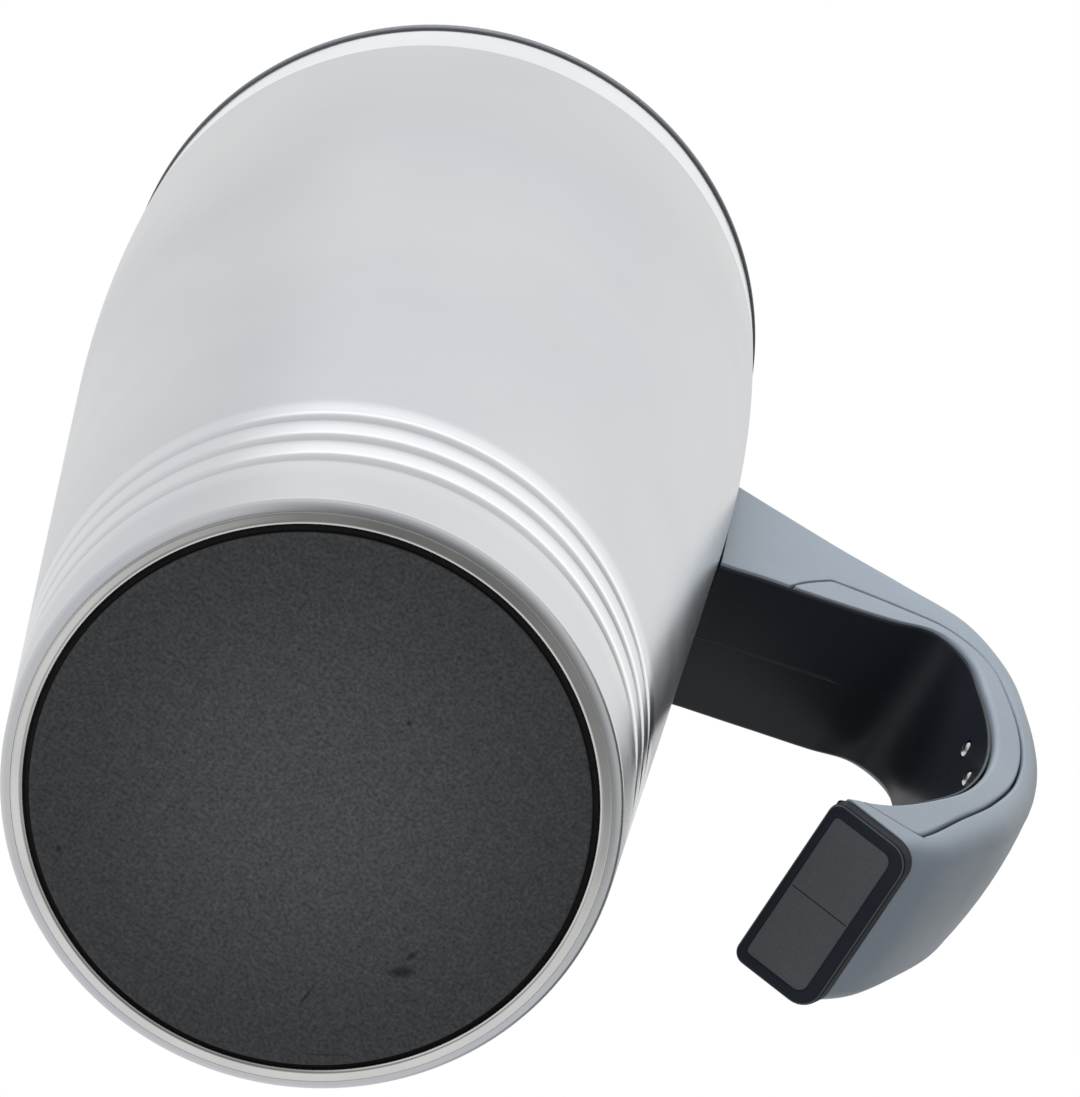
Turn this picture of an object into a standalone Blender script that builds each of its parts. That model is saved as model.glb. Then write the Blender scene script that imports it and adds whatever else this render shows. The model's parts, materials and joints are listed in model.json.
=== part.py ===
"""Insulated travel mug with an open, hook-shaped handle and a press-in lid.

The origin is the middle of the face the mug stands on. +Z is up and +X points at the handle.
"""
import math

import bmesh
import bpy
from mathutils import Matrix, Vector

MM = 0.001

# Driving sizes of the cup: the wall tapers up to the knee and curves over to the rim
BASE_RADIUS = 33.2 * MM
KNEE_RADIUS = 39.3 * MM
RIM_DRAW_IN = 0.2 * MM
RIM_RADIUS = KNEE_RADIUS - RIM_DRAW_IN
RIM_HEIGHT = 171.2 * MM
KNEE_DROP = 53.2 * MM
KNEE_HEIGHT = RIM_HEIGHT - KNEE_DROP
BAND_HEIGHT = 9.7 * MM
SHELL_TOP = RIM_HEIGHT - BAND_HEIGHT
SHELL_FOOT = 0.6 * MM
SHELL_WALL = 0.8 * MM
WALL_SPACE = 4.4 * MM
TOUCH_GAP = 0.3 * MM

# How fast the wall draws in at the rim, and its slope along the straight taper
RIM_SLOPE_SHARE = -0.06
TAPER_SLOPE_SHARE = (KNEE_RADIUS - BASE_RADIUS) / KNEE_HEIGHT

# Pressed rings above the foot
RING_COUNT = 3
RING_FIRST = 14 * MM
RING_PITCH = 6.1 * MM
RING_WIDTH = 3.6 * MM
RING_DEPTH = 0.7 * MM

# Foot of the shell, base plate and pad
FOOT_ROUND = 2.6 * MM
FOOT_TURN_IN = 0.6 * MM
FOOT_LIP = 0.2 * MM
PLATE_BEAD_ROUND = 0.4 * MM
PLATE_BEAD_DROP = 0.5 * MM
PLATE_THICKNESS = 0.9 * MM
PLATE_BEAD_WIDTH = 1.5 * MM
PAD_THICKNESS = 2.4 * MM
PAD_ROUND = 0.5 * MM
PAD_GROOVE = 0.7 * MM

# Rim band
BAND_WALL = 0.9 * MM
BAND_LIP = 0.9 * MM
BAND_ROUND = 0.4 * MM

# Liner, with a flare that takes its mouth out to the rim band
LINER_WALL = 0.8 * MM
LINER_FLOOR = 13 * MM
LINER_ROUND = 9 * MM
LINER_FLARE_DROP = 13.2 * MM
LINER_FLARE_LENGTH = 10 * MM
LINER_FLARE_END = RIM_HEIGHT - LINER_FLARE_DROP
LINER_FLARE_START = LINER_FLARE_END - LINER_FLARE_LENGTH
LINER_MOUTH_RADIUS = RIM_RADIUS - BAND_WALL - TOUCH_GAP

# Insulation
FOAM_CLEARANCE = 0.4 * MM
FOAM_DROP = 2 * MM
FOAM_TOP = LINER_FLARE_START - FOAM_DROP
FOAM_NOTCH_WIDTH = 24 * MM
FOAM_NOTCH_DROP = 3 * MM

# Handle: how far below the rim it starts, how long it is, and how far it stands off the wall
HANDLE_DROP = 18.2 * MM
HANDLE_LENGTH = 95 * MM
HANDLE_SPAN = 44.6 * MM
HANDLE_TOP = RIM_HEIGHT - HANDLE_DROP
HANDLE_END = HANDLE_TOP - HANDLE_LENGTH
HANDLE_WIDTH = 22.8 * MM
HANDLE_DEPTH = 8.4 * MM
HANDLE_CORNER = 3 * MM
HANDLE_CROWN = 0.6 * MM
COVER_WALL = 1.9 * MM
FRAME_SIDE = 4.3 * MM
PARTING_STEP = 0.05 * MM
GRIP_THICKNESS = 1.4 * MM
GRIP_FLANGE = 0.4 * MM
GRIP_INSET = 2.6 * MM
END_CAP_THICKNESS = 2.6 * MM
END_CAP_BORDER = 2.1 * MM
END_CAP_RECESS = 0.5 * MM
END_CAP_ROUND = 0.8 * MM
END_CAP_LINE = 0.5 * MM

# Each row: the outer face's place across the reach and up the handle, the depth there as a
# multiple of HANDLE_DEPTH, the width as a share of HANDLE_WIDTH, and the lean in degrees of the
# line from the outer to the inner face
HANDLE_ROW_SHARES = (
    (-0.28, 1.000, 4.22, 0.86, 90),
    (-0.06, 1.000, 4.16, 0.86, 90),
    (0.11, 0.998, 3.54, 0.86, 90),
    (0.32, 0.998, 2.79, 0.86, 90),
    (0.52, 1.002, 2.16, 0.87, 87),
    (0.74, 0.996, 1.68, 0.88, 67),
    (0.892, 0.905, 1.15, 0.89, 38),
    (0.964, 0.774, 1.04, 0.90, 17),
    (1.000, 0.621, 1.00, 0.91, 3),
    (0.986, 0.474, 0.99, 0.92, -7),
    (0.928, 0.328, 1.03, 0.94, -17),
    (0.833, 0.196, 1.12, 0.96, -22),
    (0.730, 0.077, 1.26, 0.98, -23),
    (0.626, 0.000, 1.38, 1.00, -21),
)
STEPS_PER_ROW = 3
# Each row: a place along the rows above, and the height of the frame's side that shows there
# as a multiple of FRAME_SIDE
PARTING_ROW_SHARES = (
    (2.33, 0),
    (3.0, 1.95),
    (3.33, 1.95),
    (4.0, 1.5),
    (5.0, 1.05),
    (6.0, 0.95),
    (7.33, 1.08),
    (9.33, 1.0),
    (10.33, 0.92),
    (11.33, 1.25),
    (12.33, 1.7),
    (12.67, 0),
)

# Screws, placed by how far below the top of the handle they sit
MOUNT_SCREW_DROPS = (22 * MM, 9 * MM)
MOUNT_SCREW_RADIUS = 1.5 * MM
MOUNT_SCREW_LENGTH = 13 * MM
MOUNT_HEAD_RADIUS = 2.7 * MM
MOUNT_HEAD_HEIGHT = 1.1 * MM
MOUNT_PLATE_THICKNESS = 1.1 * MM
MOUNT_PLATE_BORDER = 5.5 * MM
MOUNT_PLATE_BOTTOM = HANDLE_TOP - MOUNT_SCREW_DROPS[0] - MOUNT_PLATE_BORDER
MOUNT_PLATE_TOP = HANDLE_TOP - MOUNT_SCREW_DROPS[1] + MOUNT_PLATE_BORDER
MOUNT_PLATE_ANGLE = math.radians(12)
COVER_SCREW_DROPS = (41.5 * MM, 31.5 * MM)
COVER_SCREW_SPREAD = 5 * MM
COVER_SCREW_RADIUS = 0.8 * MM
COVER_SCREW_LENGTH = 3 * MM
COVER_HEAD_RADIUS = 1.3 * MM
COVER_HEAD_HEIGHT = 0.8 * MM
COUNTERBORE_CLEARANCE = 0.4 * MM

# Lid
LID_RADIUS = RIM_RADIUS
LID_FLANGE_THICKNESS = 1.8 * MM
LID_HEIGHT = 9 * MM
LID_DECK_DROP = 3.6 * MM
LID_DECK_THICKNESS = 3 * MM
LID_SKIRT_CLEARANCE = 1.6 * MM
LID_SKIRT_RADIUS = LINER_MOUTH_RADIUS - LINER_WALL - LID_SKIRT_CLEARANCE
LID_SKIRT_WALL = 1.7 * MM
LID_SKIRT_DEPTH = 13 * MM
LID_EDGE_WIDTH = 3.5 * MM
LID_ROUND = 1.6 * MM
DECK_RADIUS = LID_RADIUS - LID_EDGE_WIDTH - 2 * LID_ROUND
GASKET_SECTION = 1.3 * MM
GASKET_DROP = 8.6 * MM
GASKET_GROOVE_DEPTH = 0.9 * MM

# Vent hole
VENT_RADIUS = 1.2 * MM
VENT_MARGIN = 5.4 * MM

# Drinking slot and the slider that closes it, which runs between margins at the deck's two sides
SLIDER_MARGIN = 1.9 * MM
SLIDER_FAR_MARGIN = 11.4 * MM
SLIDER_TRAVEL = 13.5 * MM
SLIDER_START = SLIDER_MARGIN - DECK_RADIUS
SLIDER_LENGTH = 2 * DECK_RADIUS - SLIDER_MARGIN - SLIDER_FAR_MARGIN - SLIDER_TRAVEL
SLIDER_WIDTH = 19 * MM
SLOT_OFFSET = 7 * MM
SLOT_LENGTH = 8 * MM
SLOT_WIDTH = 16 * MM
SLIDER_THICKNESS = 2.2 * MM
SLIDER_CHANNEL_DEPTH = 1.1 * MM
SLIDER_ROUND = 2.4 * MM
THUMB_RIDGES = 3
THUMB_RIDGE_PITCH = 3 * MM
THUMB_RIDGE_WIDTH = 1.4 * MM
THUMB_RIDGE_LENGTH = 12 * MM
THUMB_RIDGE_HEIGHT = 1 * MM
STEM_WIDTH = 4 * MM
STEM_LENGTH = 5 * MM
STEM_OFFSET = 19.5 * MM
THUMB_OFFSET = 19 * MM
RETAINER_LENGTH = 9 * MM
RETAINER_WIDTH = 10 * MM
RETAINER_THICKNESS = 1.6 * MM

OVERRUN = 2 * MM
ROUND_STEPS = 48
FINE_STEPS = 36
SMALL_STEPS = 12
ARC_STEPS = 4
SMOOTH_ANGLE = math.radians(32)


def clear_scene():
    for old in list(bpy.data.objects):
        bpy.data.objects.remove(old, do_unlink=True)


def material(name, colour, roughness, metallic):
    made = bpy.data.materials.new(name)
    made.use_nodes = True
    shader = made.node_tree.nodes["Principled BSDF"]
    shader.inputs["Base Color"].default_value = (*colour, 1)
    shader.inputs["Roughness"].default_value = roughness
    shader.inputs["Metallic"].default_value = metallic
    return made


def finish(name, mesh_data, look):
    """Turn a bmesh into a named, smooth-shaded object."""
    bmesh.ops.recalc_face_normals(mesh_data, faces=mesh_data.faces)
    mesh = bpy.data.meshes.new(name)
    mesh_data.to_mesh(mesh)
    mesh_data.free()
    mesh.shade_smooth()
    mesh.set_sharp_from_angle(angle=SMOOTH_ANGLE)
    made = bpy.data.objects.new(name, mesh)
    made.data.materials.append(look)
    bpy.context.scene.collection.objects.link(made)
    return made


def turned(name, profile, look, steps=ROUND_STEPS, angle=math.tau):
    """Spin a closed outline of (radius, height) points about the Z axis."""
    data = bmesh.new()
    start = -angle / 2 if angle < math.tau else 0
    points = [data.verts.new((r * math.cos(start), r * math.sin(start), z)) for r, z in profile]
    edges = [data.edges.new((points[i - 1], points[i])) for i in range(len(points))]
    geometry = points + edges
    if angle < math.tau:
        geometry = geometry + [data.faces.new(points)]
    bmesh.ops.spin(data, geom=geometry, cent=(0, 0, 0), axis=(0, 0, 1), angle=angle, steps=steps)
    bmesh.ops.remove_doubles(data, verts=data.verts, dist=MM / 1000)
    loose = [edge for edge in data.edges if not edge.link_faces]
    bmesh.ops.delete(data, geom=loose, context="EDGES")
    return finish(name, data, look)


def lofted(name, rings, look):
    """Join a row of closed rings of 3-D points, and close both ends."""
    data = bmesh.new()
    rows = [[data.verts.new(point) for point in ring] for ring in rings]
    for near, far in zip(rows, rows[1:]):
        for i in range(len(near)):
            data.faces.new((near[i - 1], near[i], far[i], far[i - 1]))
    data.faces.new(rows[0])
    data.faces.new(rows[-1])
    return finish(name, data, look)


def cut(target, cutter):
    """Take the cutter's shape out of the target."""
    cutter.hide_render = True
    cutter.display_type = "WIRE"
    step = target.modifiers.new("cut", "BOOLEAN")
    step.operation = "DIFFERENCE"
    step.solver = "EXACT"
    step.object = cutter


def join(target, extra):
    """Fuse the extra shape with the target."""
    extra.hide_render = True
    extra.display_type = "WIRE"
    step = target.modifiers.new("join", "BOOLEAN")
    step.operation = "UNION"
    step.solver = "EXACT"
    step.object = extra


def rounded_rectangle(length, width, radius, steps=ARC_STEPS):
    """Corner points of a rectangle with round corners, centred on the origin."""
    points = []
    for turn, (sx, sy) in enumerate(((1, 1), (-1, 1), (-1, -1), (1, -1))):
        for step in range(steps + 1):
            angle = math.pi / 2 * (turn + step / steps)
            x = sx * (length / 2 - radius) + radius * math.cos(angle)
            y = sy * (width / 2 - radius) + radius * math.sin(angle)
            points.append((x, y))
    return points


def rounded_block(name, centre_x, length, width, radius, bottom, top, look, edge=0):
    """An upright block with round corners, and its top edge rounded by `edge`."""
    rings = [(0, bottom), (0, top - edge)]
    if edge:
        rings += [(edge * (1 - math.cos(a)), top - edge + edge * math.sin(a))
                  for a in (math.pi / 4, math.pi / 2)]
    shape = []
    for inset, height in rings:
        outline = rounded_rectangle(length - 2 * inset, width - 2 * inset, radius - inset)
        shape.append([(centre_x + x, y, height) for x, y in outline])
    return lofted(name, shape, look)


def shell_radius(height):
    """Outer radius of the plain wall: a straight taper, then a curve over to the rim."""
    if height <= KNEE_HEIGHT:
        return KNEE_RADIUS - TAPER_SLOPE_SHARE * (KNEE_HEIGHT - height)
    span = RIM_HEIGHT - KNEE_HEIGHT
    t = (height - KNEE_HEIGHT) / span
    return ((2 * t ** 3 - 3 * t ** 2 + 1) * KNEE_RADIUS
            + (t ** 3 - 2 * t ** 2 + t) * span * TAPER_SLOPE_SHARE
            + (3 * t ** 2 - 2 * t ** 3) * RIM_RADIUS
            + (t ** 3 - t ** 2) * span * RIM_SLOPE_SHARE)


def ring_dip(height):
    """Depth of the pressed rings at a height."""
    for ring in range(RING_COUNT):
        away = height - RING_FIRST - ring * RING_PITCH
        if abs(away) < RING_WIDTH / 2:
            return RING_DEPTH * (1 + math.cos(math.tau * away / RING_WIDTH)) / 2
    return 0


def ring_heights(steps):
    """Heights across every pressed ring, `steps` spans to a ring."""
    heights = []
    for ring in range(RING_COUNT):
        low = RING_FIRST + ring * RING_PITCH - RING_WIDTH / 2
        heights += [low + RING_WIDTH * step / steps for step in range(steps + 1)]
    return heights


def spread(low, high, count):
    """Evenly spaced values from low to high."""
    return [low + (high - low) * step / (count - 1) for step in range(count)]


def shell_inner(height):
    return shell_radius(height) - SHELL_WALL


def liner_radius(height):
    """Outer radius of the liner, which flares out under the rim."""
    plain = shell_inner(height) - WALL_SPACE
    if height <= LINER_FLARE_START:
        return plain
    t = min(1, (height - LINER_FLARE_START) / (LINER_FLARE_END - LINER_FLARE_START))
    ease = t * t * (3 - 2 * t)
    return plain + (LINER_MOUTH_RADIUS - plain) * ease


RINGS_TOP = RING_FIRST + (RING_COUNT - 1) * RING_PITCH + RING_WIDTH / 2
FOOT_RADIUS = shell_radius(SHELL_FOOT + FOOT_ROUND)
FOOT_INNER = FOOT_RADIUS - SHELL_WALL - FOOT_LIP
PLATE_RADIUS = FOOT_INNER - TOUCH_GAP
PAD_RADIUS = PLATE_RADIUS - PLATE_BEAD_WIDTH - PAD_GROOVE
PLATE_BOTTOM = PAD_THICKNESS + TOUCH_GAP
PLATE_TOP = PLATE_BOTTOM + PLATE_THICKNESS
LINER_BOTTOM = LINER_FLOOR - LINER_WALL
HANDLE_ROOT = shell_radius(HANDLE_TOP)
LID_FLANGE_BOTTOM = RIM_HEIGHT + TOUCH_GAP
LID_TOP = LID_FLANGE_BOTTOM + LID_HEIGHT
DECK_TOP = LID_TOP - LID_DECK_DROP
DECK_BOTTOM = DECK_TOP - LID_DECK_THICKNESS


def make_outer_shell(look):
    outer = spread(SHELL_TOP, KNEE_HEIGHT, 5) + ring_heights(4)[::-1]
    profile = [(shell_radius(z) - ring_dip(z), z) for z in outer]
    for angle in spread(0, math.pi / 2, 4):
        profile.append((FOOT_RADIUS - FOOT_TURN_IN * (1 - math.cos(angle)),
                        SHELL_FOOT + FOOT_ROUND * (1 - math.sin(angle))))
    profile.append((FOOT_INNER, SHELL_FOOT))
    inner = ring_heights(2) + spread(KNEE_HEIGHT, SHELL_TOP, 3)
    profile += [(shell_inner(z) - ring_dip(z), z) for z in inner]
    return turned("outer_shell", profile, look)


def make_rim_band(look):
    foot = SHELL_TOP + TOUCH_GAP
    lip_inner = LINER_MOUTH_RADIUS - LINER_WALL
    profile = [(shell_radius(foot), foot), (shell_radius(RIM_HEIGHT - BAND_ROUND), RIM_HEIGHT - BAND_ROUND)]
    for angle in spread(0, math.pi / 2, 3)[1:]:
        profile.append((RIM_RADIUS - BAND_ROUND * (1 - math.cos(angle)),
                        RIM_HEIGHT - BAND_ROUND * (1 - math.sin(angle))))
    profile += [(lip_inner + BAND_LIP / 2, RIM_HEIGHT), (lip_inner, RIM_HEIGHT - BAND_LIP / 2)]
    profile += [(lip_inner, RIM_HEIGHT - BAND_LIP), (RIM_RADIUS - BAND_WALL, RIM_HEIGHT - BAND_LIP)]
    profile.append((shell_radius(foot) - BAND_WALL, foot))
    return turned("rim_band", profile, look)


def make_inner_liner(look):
    top = RIM_HEIGHT - BAND_LIP - TOUCH_GAP
    flare = spread(LINER_FLARE_START, LINER_FLARE_END, 4)
    start = LINER_BOTTOM + LINER_ROUND
    outer = [top] + list(reversed(flare)) + [KNEE_HEIGHT, start]
    profile = [(liner_radius(z), z) for z in outer]
    corner = liner_radius(start) - LINER_ROUND
    arc = spread(0, math.pi / 2, 5)[1:]
    profile += [(corner + LINER_ROUND * math.cos(a), start - LINER_ROUND * math.sin(a)) for a in arc]
    profile += [(0, LINER_BOTTOM), (0, LINER_FLOOR)]
    inside = LINER_ROUND - LINER_WALL
    profile += [(corner + inside * math.cos(a), start - inside * math.sin(a)) for a in reversed(arc)]
    profile += [(liner_radius(z) - LINER_WALL, z) for z in reversed(outer)]
    return turned("inner_liner", profile, look, FINE_STEPS)


def make_insulation(look):
    disc_top = LINER_BOTTOM - TOUCH_GAP
    disc_radius = shell_inner(PLATE_TOP) - FOAM_CLEARANCE
    disc_bottom = PLATE_TOP + TOUCH_GAP
    turned("insulation_disc", [(0, disc_bottom), (disc_radius, disc_bottom),
                               (disc_radius, disc_top), (0, disc_top)], look, FINE_STEPS)

    low = LINER_BOTTOM
    above = RINGS_TOP + RING_WIDTH
    profile = [(shell_inner(z) - RING_DEPTH - FOAM_CLEARANCE, z) for z in (low, RINGS_TOP)]
    profile += [(shell_inner(z) - FOAM_CLEARANCE, z) for z in (above, KNEE_HEIGHT, FOAM_TOP)]
    profile += [(liner_radius(z) + FOAM_CLEARANCE, z) for z in (FOAM_TOP, KNEE_HEIGHT, low)]
    sleeve = turned("insulation_sleeve", profile, look, FINE_STEPS)
    notch_low = MOUNT_PLATE_BOTTOM - FOAM_NOTCH_DROP
    reach = KNEE_RADIUS + OVERRUN
    rings = [[(x * reach, y * FOAM_NOTCH_WIDTH / 2, z) for x, y in ((0, -1), (1, -1), (1, 1), (0, 1))]
             for z in (notch_low, FOAM_TOP + OVERRUN)]
    cut(sleeve, lofted("sleeve_notch", rings, look))


def make_base(plate_look, pad_look):
    bead_inner = PAD_RADIUS + PAD_GROOVE
    bead_low = PLATE_BEAD_DROP
    bead_round = bead_low + PLATE_BEAD_ROUND
    bead_mid = (bead_inner + PLATE_RADIUS) / 2
    profile = [(0, PLATE_BOTTOM), (bead_inner, PLATE_BOTTOM), (bead_inner, bead_round),
               (bead_inner + PLATE_BEAD_ROUND / 2, bead_low + PLATE_BEAD_ROUND / 4),
               (bead_mid, bead_low),
               (PLATE_RADIUS - PLATE_BEAD_ROUND / 2, bead_low + PLATE_BEAD_ROUND / 4),
               (PLATE_RADIUS, bead_round), (PLATE_RADIUS, PLATE_TOP), (0, PLATE_TOP)]
    turned("base_plate", profile, plate_look)
    profile = [(0, 0), (PAD_RADIUS - PAD_ROUND, 0), (PAD_RADIUS - PAD_ROUND / 4, PAD_ROUND / 4),
               (PAD_RADIUS, PAD_ROUND), (PAD_RADIUS, PAD_THICKNESS), (0, PAD_THICKNESS)]
    turned("base_pad", profile, pad_look)


def blend(values, place):
    """A smooth curve through evenly spaced values, read at a place between them."""
    index = min(int(place), len(values) - 2)
    t = place - index
    a, b, c, d = (values[min(max(index + shift, 0), len(values) - 1)] for shift in (-1, 0, 1, 2))
    return b + t * (c - a + t * (2 * a - 5 * b + 4 * c - d + t * (3 * (b - c) + d - a))) / 2


def handle_station(place):
    """Outer point, direction to the inner face, direction along the handle, depth and width."""
    across, up, deep, broad, lean = (blend(column, place) for column in zip(*HANDLE_ROW_SHARES))
    lean = math.radians(lean)
    outer = Vector((HANDLE_ROOT + across * HANDLE_SPAN, 0, HANDLE_END + up * HANDLE_LENGTH))
    inward = Vector((-math.cos(lean), 0, -math.sin(lean)))
    onward = Vector((math.sin(lean), 0, -math.cos(lean)))
    return outer, inward, onward, deep * HANDLE_DEPTH, broad * HANDLE_WIDTH


def frame_side(place):
    """Height of the frame's side that shows between the cover and the grip."""
    for (low, first), (high, second) in zip(PARTING_ROW_SHARES, PARTING_ROW_SHARES[1:]):
        if low <= place <= high:
            return FRAME_SIDE * (first + (second - first) * (place - low) / (high - low))
    return 0


def handle_sections(section):
    """Rings of 3-D points along the handle, for a function that gives (sideways, inward) points."""
    rings = []
    last = len(HANDLE_ROW_SHARES) - 1
    for step in range(last * STEPS_PER_ROW + 1):
        place = step / STEPS_PER_ROW
        outer, inward, onward, depth, width = handle_station(place)
        side = frame_side(place)
        if side < GRIP_FLANGE + 3 * TOUCH_GAP:
            side = 0
        rings.append([outer + inward * deep + Vector((0, wide, 0))
                      for wide, deep in section(depth, width / 2, side)])
    return rings


COVER_UNDERSIDE = COVER_WALL + HANDLE_CROWN


def cover_section(depth, half_width, side):
    """A channel with a crowned back: its sides end at the parting line or at the grip."""
    bottom = depth - (side or GRIP_FLANGE + TOUCH_GAP)
    flat = half_width - HANDLE_CORNER
    half = [(half_width, bottom)]
    for angle in spread(0, math.pi / 2, 4):
        half.append((flat + HANDLE_CORNER * math.cos(angle),
                     HANDLE_CROWN + HANDLE_CORNER * (1 - math.sin(angle))))
    half.append((flat / 2, HANDLE_CROWN / 4))
    outside = half + [(0, 0)] + [(-wide, deep) for wide, deep in reversed(half)]
    inner = half_width - COVER_WALL
    inside = [(-inner, bottom), (-inner, COVER_UNDERSIDE), (inner, COVER_UNDERSIDE), (inner, bottom)]
    return outside + inside


def frame_section(depth, half_width, side):
    """The core: a tongue inside the cover, a wide foot where its side shows, and the grip's bed."""
    narrow = half_width - COVER_WALL - TOUCH_GAP
    wide = half_width if side else narrow
    bottom = depth - GRIP_FLANGE - TOUCH_GAP
    shoulder = depth - side + TOUCH_GAP if side else bottom - 2 * PARTING_STEP
    lip = half_width - GRIP_INSET
    half = [(narrow, COVER_UNDERSIDE + TOUCH_GAP), (narrow, shoulder), (wide, shoulder + PARTING_STEP),
            (wide, bottom), (lip, bottom), (lip, depth - GRIP_THICKNESS - TOUCH_GAP)]
    return half + [(-out, deep) for out, deep in reversed(half)]


def grip_section(depth, half_width, side):
    """The strip on the inner face: a body in the frame's bed and thin flanges over its lips."""
    body = half_width - GRIP_INSET - TOUCH_GAP
    half = [(body, depth - GRIP_THICKNESS), (body, depth - GRIP_FLANGE),
            (half_width, depth - GRIP_FLANGE), (half_width, depth - GRIP_FLANGE / 2),
            (half_width - GRIP_FLANGE, depth)]
    return half + [(-out, deep) for out, deep in reversed(half)]


def screw(name, head_radius, head_height, shank_radius, length, look):
    """A pan-head screw along local Z, with the head's seat at zero and the shank below it."""
    profile = [(0, head_height), (head_radius / 2, head_height), (head_radius, head_height / 2),
               (head_radius, 0), (shank_radius, 0), (shank_radius, shank_radius - length), (0, -length)]
    return turned(name, profile, look, SMALL_STEPS)


def place_along(target, seat, outward):
    """Put an object's origin at the seat with its local Z along a direction."""
    turn = Vector((0, 0, 1)).rotation_difference(outward)
    target.matrix_world = Matrix.Translation(seat) @ turn.to_matrix().to_4x4()


def hole(target, seat, outward, radius, above, below):
    """Drill a round hole along a direction through the seat."""
    drill = turned(target.name + "_drill", [(0, above), (radius, above), (radius, -below), (0, -below)],
                   target.data.materials[0], SMALL_STEPS)
    place_along(drill, seat, outward)
    cut(target, drill)


def inner_face_at(height):
    """The handle's place where its inner face passes a height on the grip."""
    low, high = len(HANDLE_ROW_SHARES) / 2, len(HANDLE_ROW_SHARES) - 1
    for _ in range(30):
        middle = (low + high) / 2
        outer, inward, onward, depth, width = handle_station(middle)
        if (outer + inward * depth).z > height:
            low = middle
        else:
            high = middle
    return middle


def make_handle(cover_look, grip_look, screw_look):
    cover = lofted("handle_cover", handle_sections(cover_section), cover_look)
    frame = lofted("handle_frame", handle_sections(frame_section), cover_look)
    grip = lofted("handle_grip", handle_sections(grip_section), grip_look)

    root_low = HANDLE_TOP - handle_station(0)[3] - OVERRUN
    heights = spread(root_low, SHELL_TOP, 6)
    profile = [(shell_radius(z) + TOUCH_GAP, z) for z in reversed(heights)]
    profile += [(0, heights[0]), (0, heights[-1])]
    saddle = turned("saddle_cutter", profile, cover_look)
    for piece in (cover, frame, grip):
        cut(piece, saddle)

    number = 0
    for drop in COVER_SCREW_DROPS:
        outer, inward, onward, depth, width = handle_station(inner_face_at(HANDLE_TOP - drop))
        seat = outer + inward * (depth - GRIP_THICKNESS)
        for side in (-1, 1):
            number += 1
            place = seat + Vector((0, side * COVER_SCREW_SPREAD, 0))
            fastener = screw(f"cover_screw_{number}", COVER_HEAD_RADIUS, COVER_HEAD_HEIGHT,
                             COVER_SCREW_RADIUS, COVER_SCREW_LENGTH, screw_look)
            place_along(fastener, place, inward)
            hole(grip, place, inward, COVER_HEAD_RADIUS + COUNTERBORE_CLEARANCE, OVERRUN, OVERRUN)
            hole(frame, place, inward, COVER_SCREW_RADIUS + TOUCH_GAP, OVERRUN,
                 COVER_SCREW_LENGTH + TOUCH_GAP)
    return frame


def make_end_cap(look):
    outer, inward, onward, depth, width = handle_station(len(HANDLE_ROW_SHARES) - 1)
    centre = outer + inward * depth / 2
    top = TOUCH_GAP + END_CAP_THICKNESS
    rings = []
    for inset, rise in ((0, TOUCH_GAP), (0, top - END_CAP_ROUND),
                        (END_CAP_ROUND / 4, top - END_CAP_ROUND / 4), (END_CAP_ROUND, top),
                        (END_CAP_BORDER, top), (END_CAP_BORDER + END_CAP_RECESS, top - END_CAP_RECESS)):
        outline = rounded_rectangle(depth - 2 * inset, width - 2 * inset, HANDLE_CORNER - inset)
        rings.append([centre + inward * x + onward * rise + Vector((0, y, 0)) for x, y in outline])
    cap = lofted("handle_end_cap", rings, look)
    reach = depth / 2 - END_CAP_BORDER - END_CAP_RECESS
    corners = ((-1, -1), (1, -1), (1, 1), (-1, 1))
    line = [[centre + inward * reach * x + Vector((0, END_CAP_LINE / 2 * y, 0)) + onward * rise
             for x, y in corners] for rise in (top - 2 * END_CAP_RECESS, top + OVERRUN)]
    cut(cap, lofted("cap_line", line, look))


def make_handle_mount(shell, frame, plate_look, screw_look):
    heights = spread(MOUNT_PLATE_BOTTOM, MOUNT_PLATE_TOP, 4)
    profile = [(shell_inner(z) - TOUCH_GAP, z) for z in heights]
    profile += [(shell_inner(z) - TOUCH_GAP - MOUNT_PLATE_THICKNESS, z) for z in reversed(heights)]
    plate = turned("mount_plate", profile, plate_look, 6, 2 * MOUNT_PLATE_ANGLE)
    inward = Vector((-1, 0, 0))
    for number, drop in enumerate(MOUNT_SCREW_DROPS, 1):
        height = HANDLE_TOP - drop
        seat_x = shell_inner(height) - 2 * TOUCH_GAP - MOUNT_PLATE_THICKNESS
        seat = Vector((seat_x, 0, height))
        fastener = screw(f"mount_screw_{number}", MOUNT_HEAD_RADIUS, MOUNT_HEAD_HEIGHT,
                         MOUNT_SCREW_RADIUS, MOUNT_SCREW_LENGTH, screw_look)
        place_along(fastener, seat, inward)
        for piece in (shell, plate, frame):
            hole(piece, seat, inward, MOUNT_SCREW_RADIUS + TOUCH_GAP, OVERRUN,
                 MOUNT_SCREW_LENGTH + TOUCH_GAP)


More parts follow.
